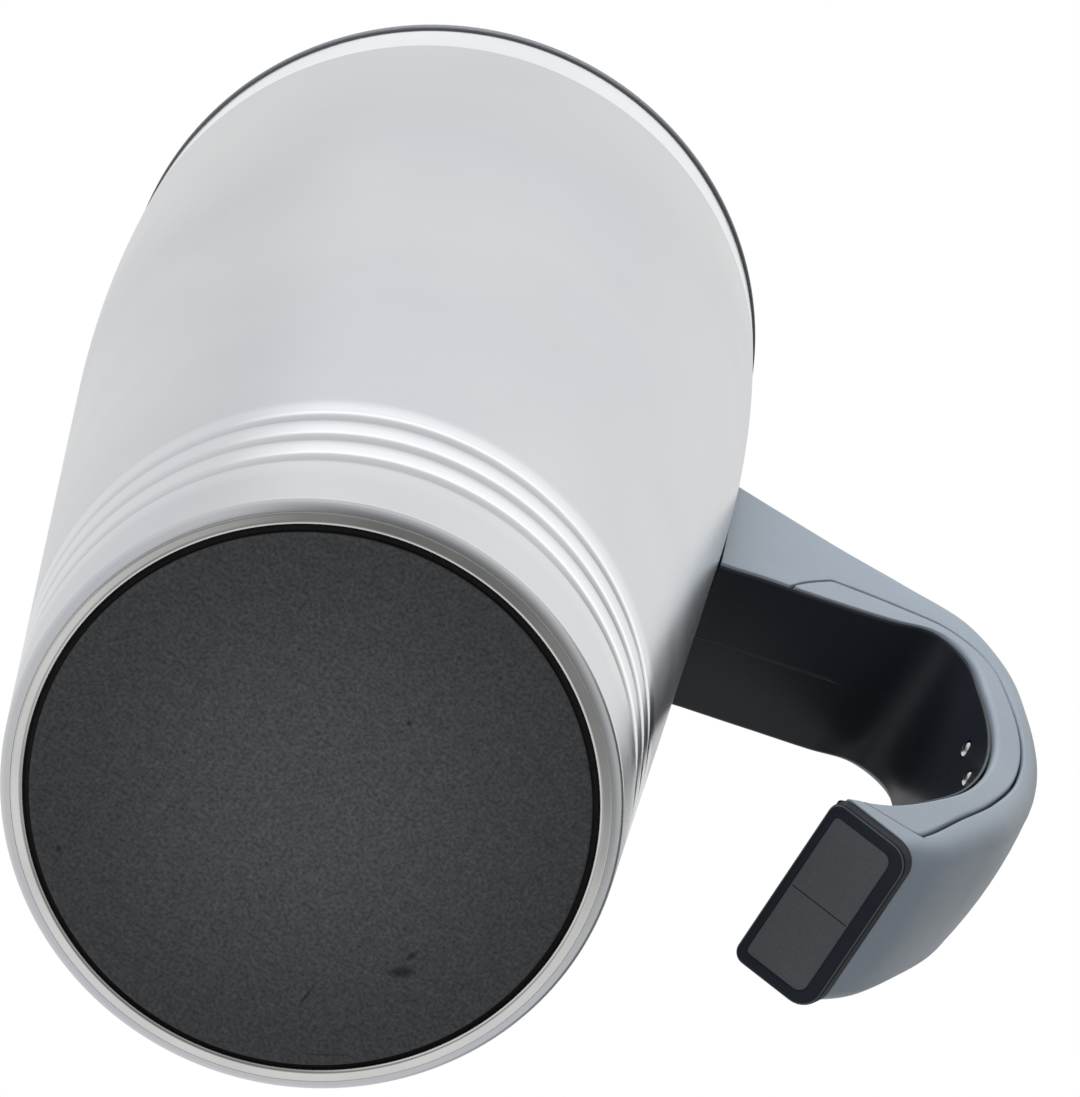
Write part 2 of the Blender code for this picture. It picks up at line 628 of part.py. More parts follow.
def make_lid(look, gasket_look):
    gasket_height = LID_FLANGE_BOTTOM - GASKET_DROP
    groove = GASKET_SECTION + TOUCH_GAP
    edge_outer = LID_RADIUS - LID_ROUND
    edge_inner = edge_outer - LID_EDGE_WIDTH
    skirt_low = LID_FLANGE_BOTTOM - LID_SKIRT_DEPTH
    skirt_inner = LID_SKIRT_RADIUS - LID_SKIRT_WALL
    flange_top = LID_FLANGE_BOTTOM + LID_FLANGE_THICKNESS
    profile = [(0, DECK_TOP), (edge_inner - LID_ROUND, DECK_TOP), (edge_inner, DECK_TOP + LID_ROUND / 2),
               (edge_inner, LID_TOP - LID_ROUND / 2), (edge_inner + LID_ROUND / 2, LID_TOP)]
    for angle in spread(math.pi / 2, 0, 4):
        profile.append((edge_outer - LID_ROUND * (1 - math.cos(angle)),
                        LID_TOP - LID_ROUND * (1 - math.sin(angle))))
    profile += [(edge_outer, flange_top + LID_ROUND / 2), (LID_RADIUS - LID_ROUND / 4, flange_top),
                (LID_RADIUS, flange_top - LID_ROUND / 4), (LID_RADIUS, LID_FLANGE_BOTTOM),
                (LID_SKIRT_RADIUS, LID_FLANGE_BOTTOM), (LID_SKIRT_RADIUS, gasket_height + groove),
                (LID_SKIRT_RADIUS - GASKET_GROOVE_DEPTH, gasket_height + groove),
                (LID_SKIRT_RADIUS - GASKET_GROOVE_DEPTH, gasket_height - groove),
                (LID_SKIRT_RADIUS, gasket_height - groove), (LID_SKIRT_RADIUS, skirt_low),
                (skirt_inner, skirt_low), (skirt_inner, DECK_BOTTOM), (0, DECK_BOTTOM)]
    lid = turned("lid_body", profile, look)

    travel_middle = SLIDER_START + (SLIDER_LENGTH + SLIDER_TRAVEL) / 2
    cut(lid, rounded_block("slider_channel", travel_middle,
                           SLIDER_LENGTH + SLIDER_TRAVEL + 2 * TOUCH_GAP, SLIDER_WIDTH + 2 * TOUCH_GAP,
                           SLIDER_ROUND, DECK_TOP - SLIDER_CHANNEL_DEPTH, DECK_TOP + OVERRUN, look))
    cut(lid, rounded_block("drink_slot", SLIDER_START + SLOT_OFFSET, SLOT_LENGTH, SLOT_WIDTH,
                           SLIDER_ROUND, DECK_BOTTOM - OVERRUN, DECK_TOP + OVERRUN, look))
    cut(lid, rounded_block("stem_slot", SLIDER_START + STEM_OFFSET + SLIDER_TRAVEL / 2,
                           STEM_LENGTH + SLIDER_TRAVEL + 2 * TOUCH_GAP, STEM_WIDTH + 2 * TOUCH_GAP,
                           STEM_WIDTH / 3, DECK_BOTTOM - OVERRUN, DECK_TOP + OVERRUN, look))
    hole(lid, Vector((DECK_RADIUS - VENT_MARGIN, 0, DECK_TOP)), Vector((0, 0, 1)), VENT_RADIUS, OVERRUN,
         LID_DECK_THICKNESS + OVERRUN)

    low = LID_SKIRT_RADIUS - GASKET_GROOVE_DEPTH + TOUCH_GAP
    high = LINER_MOUTH_RADIUS - LINER_WALL - TOUCH_GAP
    section = [((low + high) / 2 + (high - low) / 2 * math.cos(angle),
                gasket_height + GASKET_SECTION * math.sin(angle)) for angle in spread(0, math.tau, 7)[:-1]]
    turned("lid_gasket", section, gasket_look, FINE_STEPS)


def make_slider(look, clip_look):
    bottom = DECK_TOP - SLIDER_CHANNEL_DEPTH + TOUCH_GAP
    top = bottom + SLIDER_THICKNESS
    stem_place = SLIDER_START + STEM_OFFSET
    clip_top = DECK_BOTTOM - TOUCH_GAP
    clip_bottom = clip_top - RETAINER_THICKNESS
    slider = rounded_block("lid_slider", SLIDER_START + SLIDER_LENGTH / 2, SLIDER_LENGTH, SLIDER_WIDTH,
                           SLIDER_ROUND, bottom, top, look, SLIDER_THICKNESS / 4)
    join(slider, rounded_block("slider_stem", stem_place, STEM_LENGTH, STEM_WIDTH, STEM_WIDTH / 4,
                               clip_bottom, bottom + SLIDER_THICKNESS / 2, look))
    for ridge in range(THUMB_RIDGES):
        place = SLIDER_START + THUMB_OFFSET + (ridge - (THUMB_RIDGES - 1) / 2) * THUMB_RIDGE_PITCH
        join(slider, rounded_block(f"thumb_ridge_{ridge}", place, THUMB_RIDGE_WIDTH, THUMB_RIDGE_LENGTH,
                                   THUMB_RIDGE_WIDTH / 3, top - SLIDER_THICKNESS / 2,
                                   top + THUMB_RIDGE_HEIGHT, look, THUMB_RIDGE_WIDTH / 4))
    clip = rounded_block("slider_retainer", stem_place, RETAINER_LENGTH, RETAINER_WIDTH,
                         SLIDER_ROUND, clip_bottom, clip_top, clip_look)
    cut(clip, rounded_block("retainer_slot", stem_place, STEM_LENGTH + 2 * TOUCH_GAP,
                            STEM_WIDTH + 2 * TOUCH_GAP, STEM_WIDTH / 3, clip_bottom - OVERRUN,
                            clip_top + OVERRUN, clip_look))


def main():
    clear_scene()
    satin = material("satin_steel", (0.62, 0.63, 0.64), 0.35, 1)
    polished = material("polished_steel", (0.75, 0.76, 0.78), 0.12, 1)
    slate = material("slate_plastic", (0.30, 0.35, 0.40), 0.4, 0)
    black = material("black_plastic", (0.02, 0.022, 0.026), 0.35, 0)
    rubber = material("black_rubber", (0.05, 0.05, 0.055), 0.8, 0)
    silicone = material("grey_silicone", (0.30, 0.31, 0.32), 0.6, 0)
    foam = material("insulating_foam", (0.78, 0.74, 0.62), 0.9, 0)
    zinc = material("plated_screw", (0.70, 0.70, 0.68), 0.25, 1)

    shell = make_outer_shell(satin)
    make_rim_band(polished)
    make_inner_liner(satin)
    make_insulation(foam)
    make_base(polished, rubber)
    frame = make_handle(slate, black, zinc)
    make_end_cap(black)
    make_handle_mount(shell, frame, satin, zinc)
    make_lid(slate, silicone)
    make_slider(black, black)


main()
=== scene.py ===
"""Insulated travel mug: its visible pieces, finishes and studio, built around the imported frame.

Lengths are in metres, in the frame's own axes: the origin is the middle of the resting face, +Z is
up and +X points at the handle.
"""
import json
import math
from types import SimpleNamespace

import bmesh
import bpy
from bpy.props import FloatProperty, FloatVectorProperty, IntProperty, PointerProperty
from bpy.types import NodeSocket, Operator, Panel, PropertyGroup
from mathutils import Euler, Matrix, Vector

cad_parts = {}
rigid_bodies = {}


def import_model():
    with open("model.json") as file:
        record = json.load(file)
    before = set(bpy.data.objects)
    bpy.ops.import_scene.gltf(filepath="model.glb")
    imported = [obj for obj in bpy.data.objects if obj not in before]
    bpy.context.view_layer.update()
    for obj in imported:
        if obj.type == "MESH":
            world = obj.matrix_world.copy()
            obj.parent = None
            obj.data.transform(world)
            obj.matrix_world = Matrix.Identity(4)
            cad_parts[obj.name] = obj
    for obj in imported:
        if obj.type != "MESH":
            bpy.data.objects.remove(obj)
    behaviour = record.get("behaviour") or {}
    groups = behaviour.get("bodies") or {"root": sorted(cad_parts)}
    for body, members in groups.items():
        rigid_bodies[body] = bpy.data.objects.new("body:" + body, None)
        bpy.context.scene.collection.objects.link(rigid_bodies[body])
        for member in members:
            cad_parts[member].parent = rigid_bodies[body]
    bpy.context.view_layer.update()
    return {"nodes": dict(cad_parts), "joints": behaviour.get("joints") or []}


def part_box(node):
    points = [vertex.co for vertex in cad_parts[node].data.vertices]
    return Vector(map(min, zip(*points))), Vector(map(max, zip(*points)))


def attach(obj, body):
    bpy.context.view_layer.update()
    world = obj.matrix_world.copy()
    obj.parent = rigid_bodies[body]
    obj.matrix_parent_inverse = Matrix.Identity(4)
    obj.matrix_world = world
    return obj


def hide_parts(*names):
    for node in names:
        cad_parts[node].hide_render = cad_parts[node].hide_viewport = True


bl_info = {
    "name": "Insulated Mug",
    "version": (1, 0, 0),
    "blender": (4, 5, 0),
    "location": "View3D > Sidebar > Mug",
    "description": "Builds the pieces, finishes and studio of a steel travel mug",
    "category": "Object",
}

for leftover in list(bpy.data.objects):
    bpy.data.objects.remove(leftover)
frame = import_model()

MM = 0.001
ROUND_STEPS = 192
SMALL_ROUND_STEPS = 32
CORNER_STEPS = 8
EDGE_STEPS = 4
SEARCH_STEPS = 24
SMOOTH_ANGLE = math.radians(30)

# The wall's slope at the rim, the base plate's slope in degrees, the share of a pressed ring's
# depth that cuts in at once, the power of its curves, and how much further the last ring eases out
RIM_SLOPE = -0.06
PLATE_SLOPE = 17
RING_STEEP = 0.62
RING_POWER = 1.5
LAST_SHOULDER = 1.2

# The band's thickness and soft edge, the steps of the foot's round, and the share of the pad's
# radius past which its side takes the black of painted shade
BAND_WALL = 0.9 * MM
BAND_ROUND = 0.4 * MM
ROLL_STEPS = 40
PAD_SIDE = 0.98

# Cover screws, and the heights between which the grip is drilled for them
SCREWS = (1, 2, 3, 4)
SCREW_SHANK = 0.8 * MM
SCREW_REACH = 3 * MM
DRILL_REACH = (-2 * MM, 3 * MM)

# Small sizes of the lid, its slider and the clip, how far a cut runs past what it cuts, and where
# the gasket's two lips sit as a share of half its height
OVERRUN = 2 * MM
LIP_PLACE = 0.55
GROOVE_DEPTH = 0.9 * MM
VENT_RADIUS = 1.2 * MM
VENT_INSET = 5.4 * MM
SLOT_PLACE = 7 * MM
SLOT_LENGTH = 8 * MM
SLOT_WIDTH = 16 * MM
SLIDER_CORNER = 2.4 * MM
SLIDER_EDGE = 0.7 * MM
STEM_LENGTH = 5 * MM
STEM_WIDTH = 4 * MM
STEM_CORNER = 1 * MM
STEM_SLOT_CORNER = 1.5 * MM
CLIP_SLOT_CORNER = 1.3 * MM
CLIP_EDGE = 0.3 * MM
RIDGE_PLACE = 19 * MM
RIDGE_PITCH = 3 * MM
RIDGE_WIDTH = 1.4 * MM
RIDGE_LENGTH = 12 * MM
RIDGE_RISE = 1 * MM
RIDGE_CORNER = 0.65 * MM
RIDGE_EDGE = 0.5 * MM

# Each row of the handle: the outer face's place across the span and up the length, the depth there
# and the width as multiples of the handle's own, and the lean in degrees of its cross-section
HANDLE_ROWS = (
    (-0.28, 1.000, 4.22, 0.86, 90),
    (-0.06, 1.000, 4.16, 0.86, 90),
    (0.11, 0.998, 3.54, 0.86, 90),
    (0.32, 0.998, 2.79, 0.86, 90),
    (0.52, 1.002, 2.16, 0.87, 87),
    (0.74, 0.996, 1.68, 0.88, 67),
    (0.892, 0.905, 1.15, 0.89, 38),
    (0.964, 0.774, 1.04, 0.90, 17),
    (1.000, 0.621, 1.00, 0.91, 3),
    (0.986, 0.474, 0.99, 0.92, -7),
    (0.928, 0.328, 1.03, 0.94, -17),
    (0.833, 0.196, 1.12, 0.96, -22),
    (0.730, 0.077, 1.26, 0.98, -23),
    (0.626, 0.000, 1.38, 1.00, -21),
)
# For each of those rows, the height of the frame's side that shows under the cover, as a multiple
# of its own; it shows between two places, and comes to a point at each
SIDE_SHARES = (1.9, 1.9, 1.9, 1.85, 1.5, 1.06, 0.96, 1.04, 1.06, 1.02, 0.94, 1.08, 1.5, 2.0)
SIDE_START = (2.33, 2.9)
SIDE_END = (12.67, 12.3)
LAST_ROW = len(HANDLE_ROWS) - 1
ROOT_ROW = 3.0
ROOT_STEPS = 30
STEPS_PER_ROW = 12


def length(default, description):
    return FloatProperty(description=description, default=default, min=0, precision=4,
                         subtype="DISTANCE", unit="LENGTH")


def level(default, description):
    return FloatProperty(description=description, default=default, min=0)


def colour(default, description):
    return FloatVectorProperty(description=description, default=default, min=0, max=1,
                               subtype="COLOR")


class CupSizes(PropertyGroup):
    base_radius: length(33.2 * MM, "Steel wall's radius where its taper meets the floor")
    knee_radius: length(39.28 * MM, "Steel wall's radius at the top of its taper")
    knee_height: length(118 * MM, "Height where the taper turns into the upper curve")
    rim_radius: length(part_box("lid_body")[1].x, "Radius of the band at the mouth")
    rim_height: length(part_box("rim_band")[1].z, "Height of the mouth")
    wall_top: length(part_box("outer_shell")[1].z, "Height where the wall meets the band")
    wall_foot: length(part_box("outer_shell")[0].z, "Height of the rolled foot")
    wall: length(0.8 * MM, "Thickness of the steel wall, liner and band")
    space: length(4.4 * MM, "Gap between the two walls")
    seam: length(0.3 * MM, "Gap between pieces that touch")
    ring_first: length(14 * MM, "Height of the lowest pressed ring")
    ring_pitch: length(6.1 * MM, "Distance from ring to ring")
    ring_cut: length(1.9 * MM, "Height of a ring's steep part above its bottom")
    ring_lip: length(0.8 * MM, "Height of a ring's side under its bottom")
    ring_soft: length(0.4 * MM, "Height over which a ring's corners are softened")
    ring_shoulder: length(4.9 * MM, "Height over which a ring eases out upward")
    ring_depth: length(0.55 * MM, "How deep a ring is pressed")
    ring_count: IntProperty(description="Number of pressed rings", default=3, min=0)
    foot_round: length(1.25 * MM, "Height of the round from the wall to the plate")
    joint_round: length(0.05 * MM, "Soft edge of the wall and the plate along their joint")
    hairline: length(0.01 * MM, "Gap of a pressed joint between two steel pieces")
    pad_radius: length(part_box("base_pad")[1].x + 0.15 * MM, "Radius of the rubber pad")
    pad_thickness: length(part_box("base_pad")[1].z, "Thickness of the rubber pad")
    pad_edge: length(0.35 * MM, "Round of the pad's edge")
    pad_groove: length(0.57 * MM, "Gap between the pad and the rolled bead round it")
    # Painted shade: a black sheet fills the bottom of the gap round the pad
    glue_depth: length(1.2 * MM, "Height of the dark glue that fills the bottom of that gap")
    bead_round: length(0.5 * MM, "Round of the bead's inner edge")
    plate_radius: length(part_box("base_plate")[1].x, "Radius of the steel base plate")
    liner_floor: length(13 * MM, "Height of the inside floor")
    liner_round: length(9 * MM, "Radius between the inside floor and the liner's wall")
    flare_start: length(148 * MM, "Height where the liner starts to widen")
    flare_end: length(158 * MM, "Height where the liner reaches the band")


class HandleSizes(PropertyGroup):
    top: length(153 * MM, "Height of the handle's top")
    length: length(95 * MM, "Height from the top to the free end")
    span: length(44.57 * MM, "How far the handle stands off the wall")
    width: length(22.8 * MM, "Width at the free end")
    depth: length(8.4 * MM, "Thickness of the grip")
    corner: length(3 * MM, "Round of the cover's back edges")
    crown: length(0.6 * MM, "Height of the cover's crowned back")
    cover_wall: length(1.9 * MM, "Thickness of the cover")
    side: length(4.3 * MM, "Height of the frame's side that shows under the cover")
    side_round: length(0.7 * MM, "Round of the frame's edge beside the grip")
    edge: length(0.45 * MM, "Soft edge along the parting line")
    grip_thickness: length(1.4 * MM, "Thickness of the black grip strip")
    grip_flange: length(0.4 * MM, "Thickness of the grip's edges")
    grip_inset: length(2.6 * MM, "How far the grip's body sits in from the sides")
    mould_line: length(0.12 * MM, "Height of the mould line under the arm")
    cap_thickness: length(2.6 * MM, "Thickness of the end cap")
    cap_border: length(1.2 * MM, "Width of the end cap's raised border")
    cap_shift: length(0.35 * MM, "How far the panel sits toward the grip")
    cap_corner: length(1.7 * MM, "Round of the end cap's corners beside the grip")
    cap_inset: length(0.15 * MM, "How far the end cap sits in from the handle's sides")
    cap_round: length(0.8 * MM, "Round of the end cap's outer edge")
    cap_recess: length(0.3 * MM, "Depth of the end cap's panel")
    cap_line: length(0.13 * MM, "Width of the line across the panel")
    screw_head: length(1.0 * MM, "Radius of a cover screw's head")
    screw_rise: length(0.4 * MM, "How far a cover screw's head stands out of the grip")


class LidSizes(PropertyGroup):
    top: length(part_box("lid_body")[1].z, "Height of the lid's raised edge")
    flange: length(1.8 * MM, "Thickness of the edge that sits on the rim")
    flange_reach: length(0.28 * MM, "How far that edge stands out past the rim")
    deck_drop: length(3.6 * MM, "How far the deck lies under the raised edge")
    deck: length(3 * MM, "Thickness of the deck")
    skirt_radius: length(35.5 * MM, "Radius of the part inside the mouth")
    skirt_wall: length(1.7 * MM, "Thickness of that part")
    skirt_depth: length(13 * MM, "How far it reaches into the mouth")
    edge_width: length(3.5 * MM, "Width of the raised edge")
    round: length(1.6 * MM, "Round of the raised edge")
    gasket_drop: length(8.6 * MM, "How far the gasket sits under the flange")
    gasket_section: length(1.3 * MM, "Half the gasket's height")
    slider_thickness: length(2.2 * MM, "Thickness of the slider")
    channel: length(1.1 * MM, "Depth of the slider's channel")


class FinishColours(PropertyGroup):
    steel: colour((0.600, 0.620, 0.662), "Satin steel of the cup")
    steel_warm: colour((0.660, 0.668, 0.678), "Second tone of the satin steel")
    # Painted highlight: the lighter steel mixed onto the rings' crests
    steel_crest: colour((0.93, 0.94, 0.95), "Steel rubbed bright on the rings")
    polished: colour((0.935, 0.95, 0.97), "Rim band")
    base: colour((0.78, 0.78, 0.765), "Rolled base plate")
    slate: colour((0.178, 0.212, 0.251), "Handle cover, frame and lid")
    lid: colour((0.076, 0.081, 0.088), "Lid")
    black: colour((0.0108, 0.0128, 0.0172), "Grip, slider and cap border")
    panel: colour((0.043, 0.046, 0.051), "Panel on the handle's end")
    rubber: colour((0.038, 0.040, 0.043), "Pad under the cup")
    # Painted shade: black for the pad's side and the sheet across the bottom of the gap
    glue: colour((0.008, 0.008, 0.008), "Glue round the pad")
    silicone: colour((0.34, 0.35, 0.36), "Lid gasket")
    foam: colour((0.74, 0.70, 0.58), "Insulation between the walls")
    screw: colour((0.72, 0.72, 0.70), "Plated screws")
    floor: colour((0.86, 0.86, 0.86), "Studio floor")


class StageSizes(PropertyGroup):
    camera_place: FloatVectorProperty(description="Where the camera stands", precision=6,
                                      default=(-0.096105, -0.320907, -0.894118),
                                      subtype="TRANSLATION", unit="LENGTH")
    camera_turn: FloatVectorProperty(description="How the camera is turned", precision=6,
                                     default=(2.823627, -0.068425, -0.549779),
                                     subtype="EULER", unit="ROTATION")
    lens: FloatProperty(description="Focal length in millimetres on a 36 mm sensor",
                        default=295.35, min=1, unit="CAMERA")
    floor_radius: length(2.4, "Radius of the studio floor")
    sky: level(1.04, "Sky level all round")
    sky_top: level(1.12, "Sky level straight overhead")
    window: level(0.78, "Extra level of a bright strip high in front")
    front_shade: level(0.06, "Level taken off between that strip and the horizon")
    side_shade: level(0.9, "Level taken off low on the +X side")
    ground_front: level(0.20, "Level below on the -Y side")
    ground_far: level(0.7, "Level toward the horizon on the -Y side")
    ground_under: level(0.30, "Level straight below")
    ground_back: level(0.92, "Level below on the +Y side")


# Mesh making

def spread(low, high, count):
    """Evenly spaced values from low to high."""
    return [low + (high - low) * step / (count - 1) for step in range(count)]


def arc(centre, radius, start, end, steps):
    """Points about a centre, from one angle in degrees to another; two radii make an ellipse."""
    (x, y), (wide, tall) = centre, radius if isinstance(radius, tuple) else (radius, radius)
    angles = (math.radians(angle) for angle in spread(start, end, steps + 1))
    return [(x + wide * math.cos(a), y + tall * math.sin(a)) for a in angles]


def smooth_step(value):
    """A share from 0 to 1 that starts and ends gently."""
    value = min(1, max(0, value))
    return value * value * (3 - 2 * value)


def mesh_from(name, data):
    """A smooth mesh with its hard edges marked, from the faces made so far."""
    bmesh.ops.recalc_face_normals(data, faces=data.faces)
    mesh = bpy.data.meshes.new(name)
    data.to_mesh(mesh)
    data.free()
    mesh.shade_smooth()
    mesh.set_sharp_from_angle(angle=SMOOTH_ANGLE)
    return mesh


def turned(name, profile, steps=ROUND_STEPS):
    """Mesh of a closed (radius, height) outline turned about the Z axis."""
    data = bmesh.new()
    rings = []
    for radius, height in profile:
        angles = [math.tau * k / steps for k in range(steps if radius else 1)]
        rings.append([data.verts.new((radius * math.cos(a), radius * math.sin(a), height))
                      for a in angles])
    for near, far in zip(rings, rings[1:] + rings[:1]):
        if len(near) == len(far) == 1:
            continue
        for k in range(steps):
            corners = (near[k % len(near)], near[(k + 1) % len(near)],
                       far[(k + 1) % len(far)], far[k % len(far)])
            data.faces.new(list(dict.fromkeys(corners)))
    return mesh_from(name, data)


def rod(name, radius, low, high):
    """Mesh of a small upright rod that cuts a hole."""
    return turned(name, [(0, low), (radius, low), (radius, high), (0, high)], SMALL_ROUND_STEPS)


def lofted(name, rings):
    """Mesh of a row of closed rings of points, with both ends filled."""
    data = bmesh.new()
    rows = [[data.verts.new(point) for point in ring] for ring in rings]
    for near, far in zip(rows, rows[1:]):
        for k in range(len(near)):
            data.faces.new((near[k - 1], near[k], far[k], far[k - 1]))
    data.faces.new(rows[0])
    data.faces.new(rows[-1])
    return mesh_from(name, data)


def rounded_rectangle(length, width, radius, far_radius=None):
    """Points of a centred rectangle with round corners; those at +X can have their own round."""
    points = []
    for turn, (sx, sy) in enumerate(((1, 1), (-1, 1), (-1, -1), (1, -1))):
        corner = far_radius if far_radius and sx > 0 else radius
        centre = (sx * (length / 2 - corner), sy * (width / 2 - corner))
        points += arc(centre, corner, 90 * turn, 90 * turn + 90, CORNER_STEPS)
    return points


def rounded_block(name, centre, length, width, radius, bottom, top, edge=0):
    """Mesh of an upright block with round corners, its top edge rounded by `edge`."""
    rings = [(0, bottom)]
    rings += [(edge - x, z) for x, z in arc((0, top - edge), edge, 0, 90, EDGE_STEPS)] \
        if edge else [(0, top)]
    shape = []
    for inset, height in rings:
        outline = rounded_rectangle(length - 2 * inset, width - 2 * inset, radius - inset)
        shape.append([(centre + x, y, height) for x, y in outline])
    return lofted(name, shape)


def loose_object(mesh):
    """An object in the scene that shows a mesh."""
    made = bpy.data.objects.new(mesh.name, mesh)
    bpy.context.scene.collection.objects.link(made)
    return made


def carved(mesh, cuts=(), joins=()):
    """The mesh with other meshes joined to it or cut out of it, and shaded again."""
    body = loose_object(mesh)
    others = [loose_object(other) for other in (*joins, *cuts)]
    for number, other in enumerate(others):
        step = body.modifiers.new(other.name, "BOOLEAN")
        step.operation = "UNION" if number < len(joins) else "DIFFERENCE"
        step.solver, step.object = "EXACT", other
    graph = bpy.context.evaluated_depsgraph_get()
    made = bpy.data.meshes.new_from_object(body.evaluated_get(graph))
    name = mesh.name
    for spent in others + [body]:
        bpy.data.meshes.remove(spent.data)
    made.name = name
    made.shade_smooth()
    made.set_sharp_from_angle(angle=SMOOTH_ANGLE)
    return made


def add_piece(mesh, finishes, body, stands_for, matrix=None):
    """Put a finished mesh in the scene as a piece that rides on a body and stands for CAD nodes."""
    piece = bpy.data.objects.new(mesh.name, mesh)
    dress(mesh, *finishes)
    bpy.context.scene.collection.objects.link(piece)
    if matrix:
        piece.matrix_world = matrix
    piece.modifiers.new("even_shading", "WEIGHTED_NORMAL").keep_sharp = True
    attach(piece, body)
    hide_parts(*stands_for)


def dress(mesh, *finishes):
    """Give a mesh its finishes, in place of any that it had."""
    mesh.materials.clear()
    for name in finishes:
        mesh.materials.append(finish(name))


# Outlines that several pieces share

def wall_radius(cup, height):
    """Outer radius of the plain wall: a straight taper, then a curve over to the rim."""
    slope = (cup.knee_radius - cup.base_radius) / cup.knee_height
    if height <= cup.knee_height:
        return cup.knee_radius - slope * (cup.knee_height - height)
    span = cup.rim_height - cup.knee_height
    t = (height - cup.knee_height) / span
    return ((2 * t ** 3 - 3 * t ** 2 + 1) * cup.knee_radius
            + (t ** 3 - 2 * t ** 2 + t) * span * slope
            + (3 * t ** 2 - 2 * t ** 3) * cup.rim_radius
            + (t ** 3 - t ** 2) * span * RIM_SLOPE)


def ring_cut_at(cup, height):
    """A ring's depth as a share: it cuts in sharply from below and eases out upward."""
    dip = 0
    for ring in range(cup.ring_count):
        above = height - cup.ring_first - ring * cup.ring_pitch
        shoulder = cup.ring_shoulder * (LAST_SHOULDER if ring == cup.ring_count - 1 else 1)
        if -cup.ring_lip < above <= 0:
            dip = max(dip, smooth_step(1 + above / cup.ring_lip))
        elif 0 < above < shoulder:
            steep = max(0, 1 - above / cup.ring_cut) ** RING_POWER
            eased = (1 - above / shoulder) ** RING_POWER
            dip = max(dip, RING_STEEP * steep + (1 - RING_STEEP) * eased)
    return dip


def ring_dip(cup, height):
    """How far the wall is pressed in, with the rings' corners softened over a short height."""
    weights = (1, 2, 3, 2, 1)
    shifts = spread(-cup.ring_soft, cup.ring_soft, len(weights))
    parts = [weight * ring_cut_at(cup, height + shift) for weight, shift in zip(weights, shifts)]
    return cup.ring_depth * sum(parts) / sum(weights)


def liner_radius(cup, height):
    """Outer radius of the liner, which widens to meet the band."""
    plain = wall_radius(cup, height) - cup.wall - cup.space
    mouth = cup.rim_radius - BAND_WALL - cup.seam
    flare = (height - cup.flare_start) / (cup.flare_end - cup.flare_start)
    return plain + (mouth - plain) * smooth_step(flare)


def bead_end(cup):
    """Where the bead beside the pad runs out into the plate's slope."""
    turn = math.radians(PLATE_SLOPE)
    middle = cup.pad_radius + cup.pad_groove + cup.bead_round
    return (middle + cup.bead_round * math.sin(turn),
            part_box("base_plate")[0].z + cup.bead_round * (1 - math.cos(turn)))


def foot_roll(cup, steps):
    """The outline from the wall round to the joint, and on down the plate's slope to the bead."""
    bead, low = bead_end(cup)
    slope = math.tan(math.radians(PLATE_SLOPE))
    joint = (cup.plate_radius, low + (cup.plate_radius - bead) * slope)
    start = joint[1] + cup.foot_round
    edge = wall_radius(cup, start)
    corner = (edge, joint[1] + (edge - joint[0]) * slope)
    curve = [tuple((1 - t) ** 2 * a + 2 * t * (1 - t) * b + t * t * c
                   for a, b, c in zip((edge, start), corner, joint))
             for t in spread(0, 1, steps + 1)]
    return curve + [(r, low + (r - bead) * slope) for r in spread(cup.plate_radius, bead, 8)[1:]]


class MUG_OT_wall(Operator):
    """Turn the steel wall with its pressed rings and rolled foot"""
    bl_idname = "mug.wall"
    bl_label = "Steel Wall"

    def execute(self, context):
        cup = context.scene.mug_cup
        rings_top = cup.ring_first + (cup.ring_count + 0.1) * cup.ring_pitch
        rings_low = cup.ring_first - 2 * cup.ring_lip
        edge = cup.hairline
        top = cup.wall_top + cup.seam - edge
        heights = (spread(top - edge, rings_top, 44) + spread(rings_top, rings_low, 106)[1:]
                   + spread(rings_low, foot_roll(cup, 2)[0][1], 8)[1:-1])
        profile = [(wall_radius(cup, top) - cup.wall, top), (wall_radius(cup, top) - edge, top)]
        profile += [(wall_radius(cup, z) - ring_dip(cup, z), z) for z in heights]
        inner_foot = cup.plate_radius + edge
        soft = cup.joint_round
        roll = [(r, z) for r, z in foot_roll(cup, ROLL_STEPS) if r > inner_foot + soft]
        profile += roll + arc((inner_foot + soft, roll[-1][1] + soft), soft, -100, -180, 4)
        profile += [(inner_foot, cup.wall_foot + 2 * cup.foot_round)]
        inside = spread(rings_low, rings_top, 30) + spread(cup.knee_height, top, 8)[:-1]
        profile += [(wall_radius(cup, z) - cup.wall - ring_dip(cup, z), z) for z in inside]
        add_piece(turned("steel_wall", profile), ["satin_steel"], "cup", ["outer_shell"])
        return {"FINISHED"}


class MUG_OT_rim(Operator):
    """Turn the polished band and the lip that closes the two walls"""
    bl_idname = "mug.rim"
    bl_label = "Rim Band"

    def execute(self, context):
        cup = context.scene.mug_cup
        foot, top = cup.wall_top + cup.seam, cup.rim_height
        edge = cup.wall / 4
        lip = cup.rim_radius - BAND_WALL - cup.seam - cup.wall
        lip_round = BAND_WALL / 2
        high = top - BAND_ROUND
        profile = [(wall_radius(cup, foot) - edge, foot)]
        profile += [(wall_radius(cup, z), z) for z in spread(foot + edge, high, 14)]
        profile += arc((cup.rim_radius - BAND_ROUND, high), BAND_ROUND, 0, 90, 6)[1:]
        profile += arc((lip + lip_round, top - lip_round), lip_round, 90, 180, 6)
        profile += [(lip, top - BAND_WALL), (cup.rim_radius - BAND_WALL, top - BAND_WALL),
                    (wall_radius(cup, foot) - BAND_WALL, foot)]
        add_piece(turned("rim_ring", profile), ["polished_steel"], "cup", ["rim_band"])
        return {"FINISHED"}


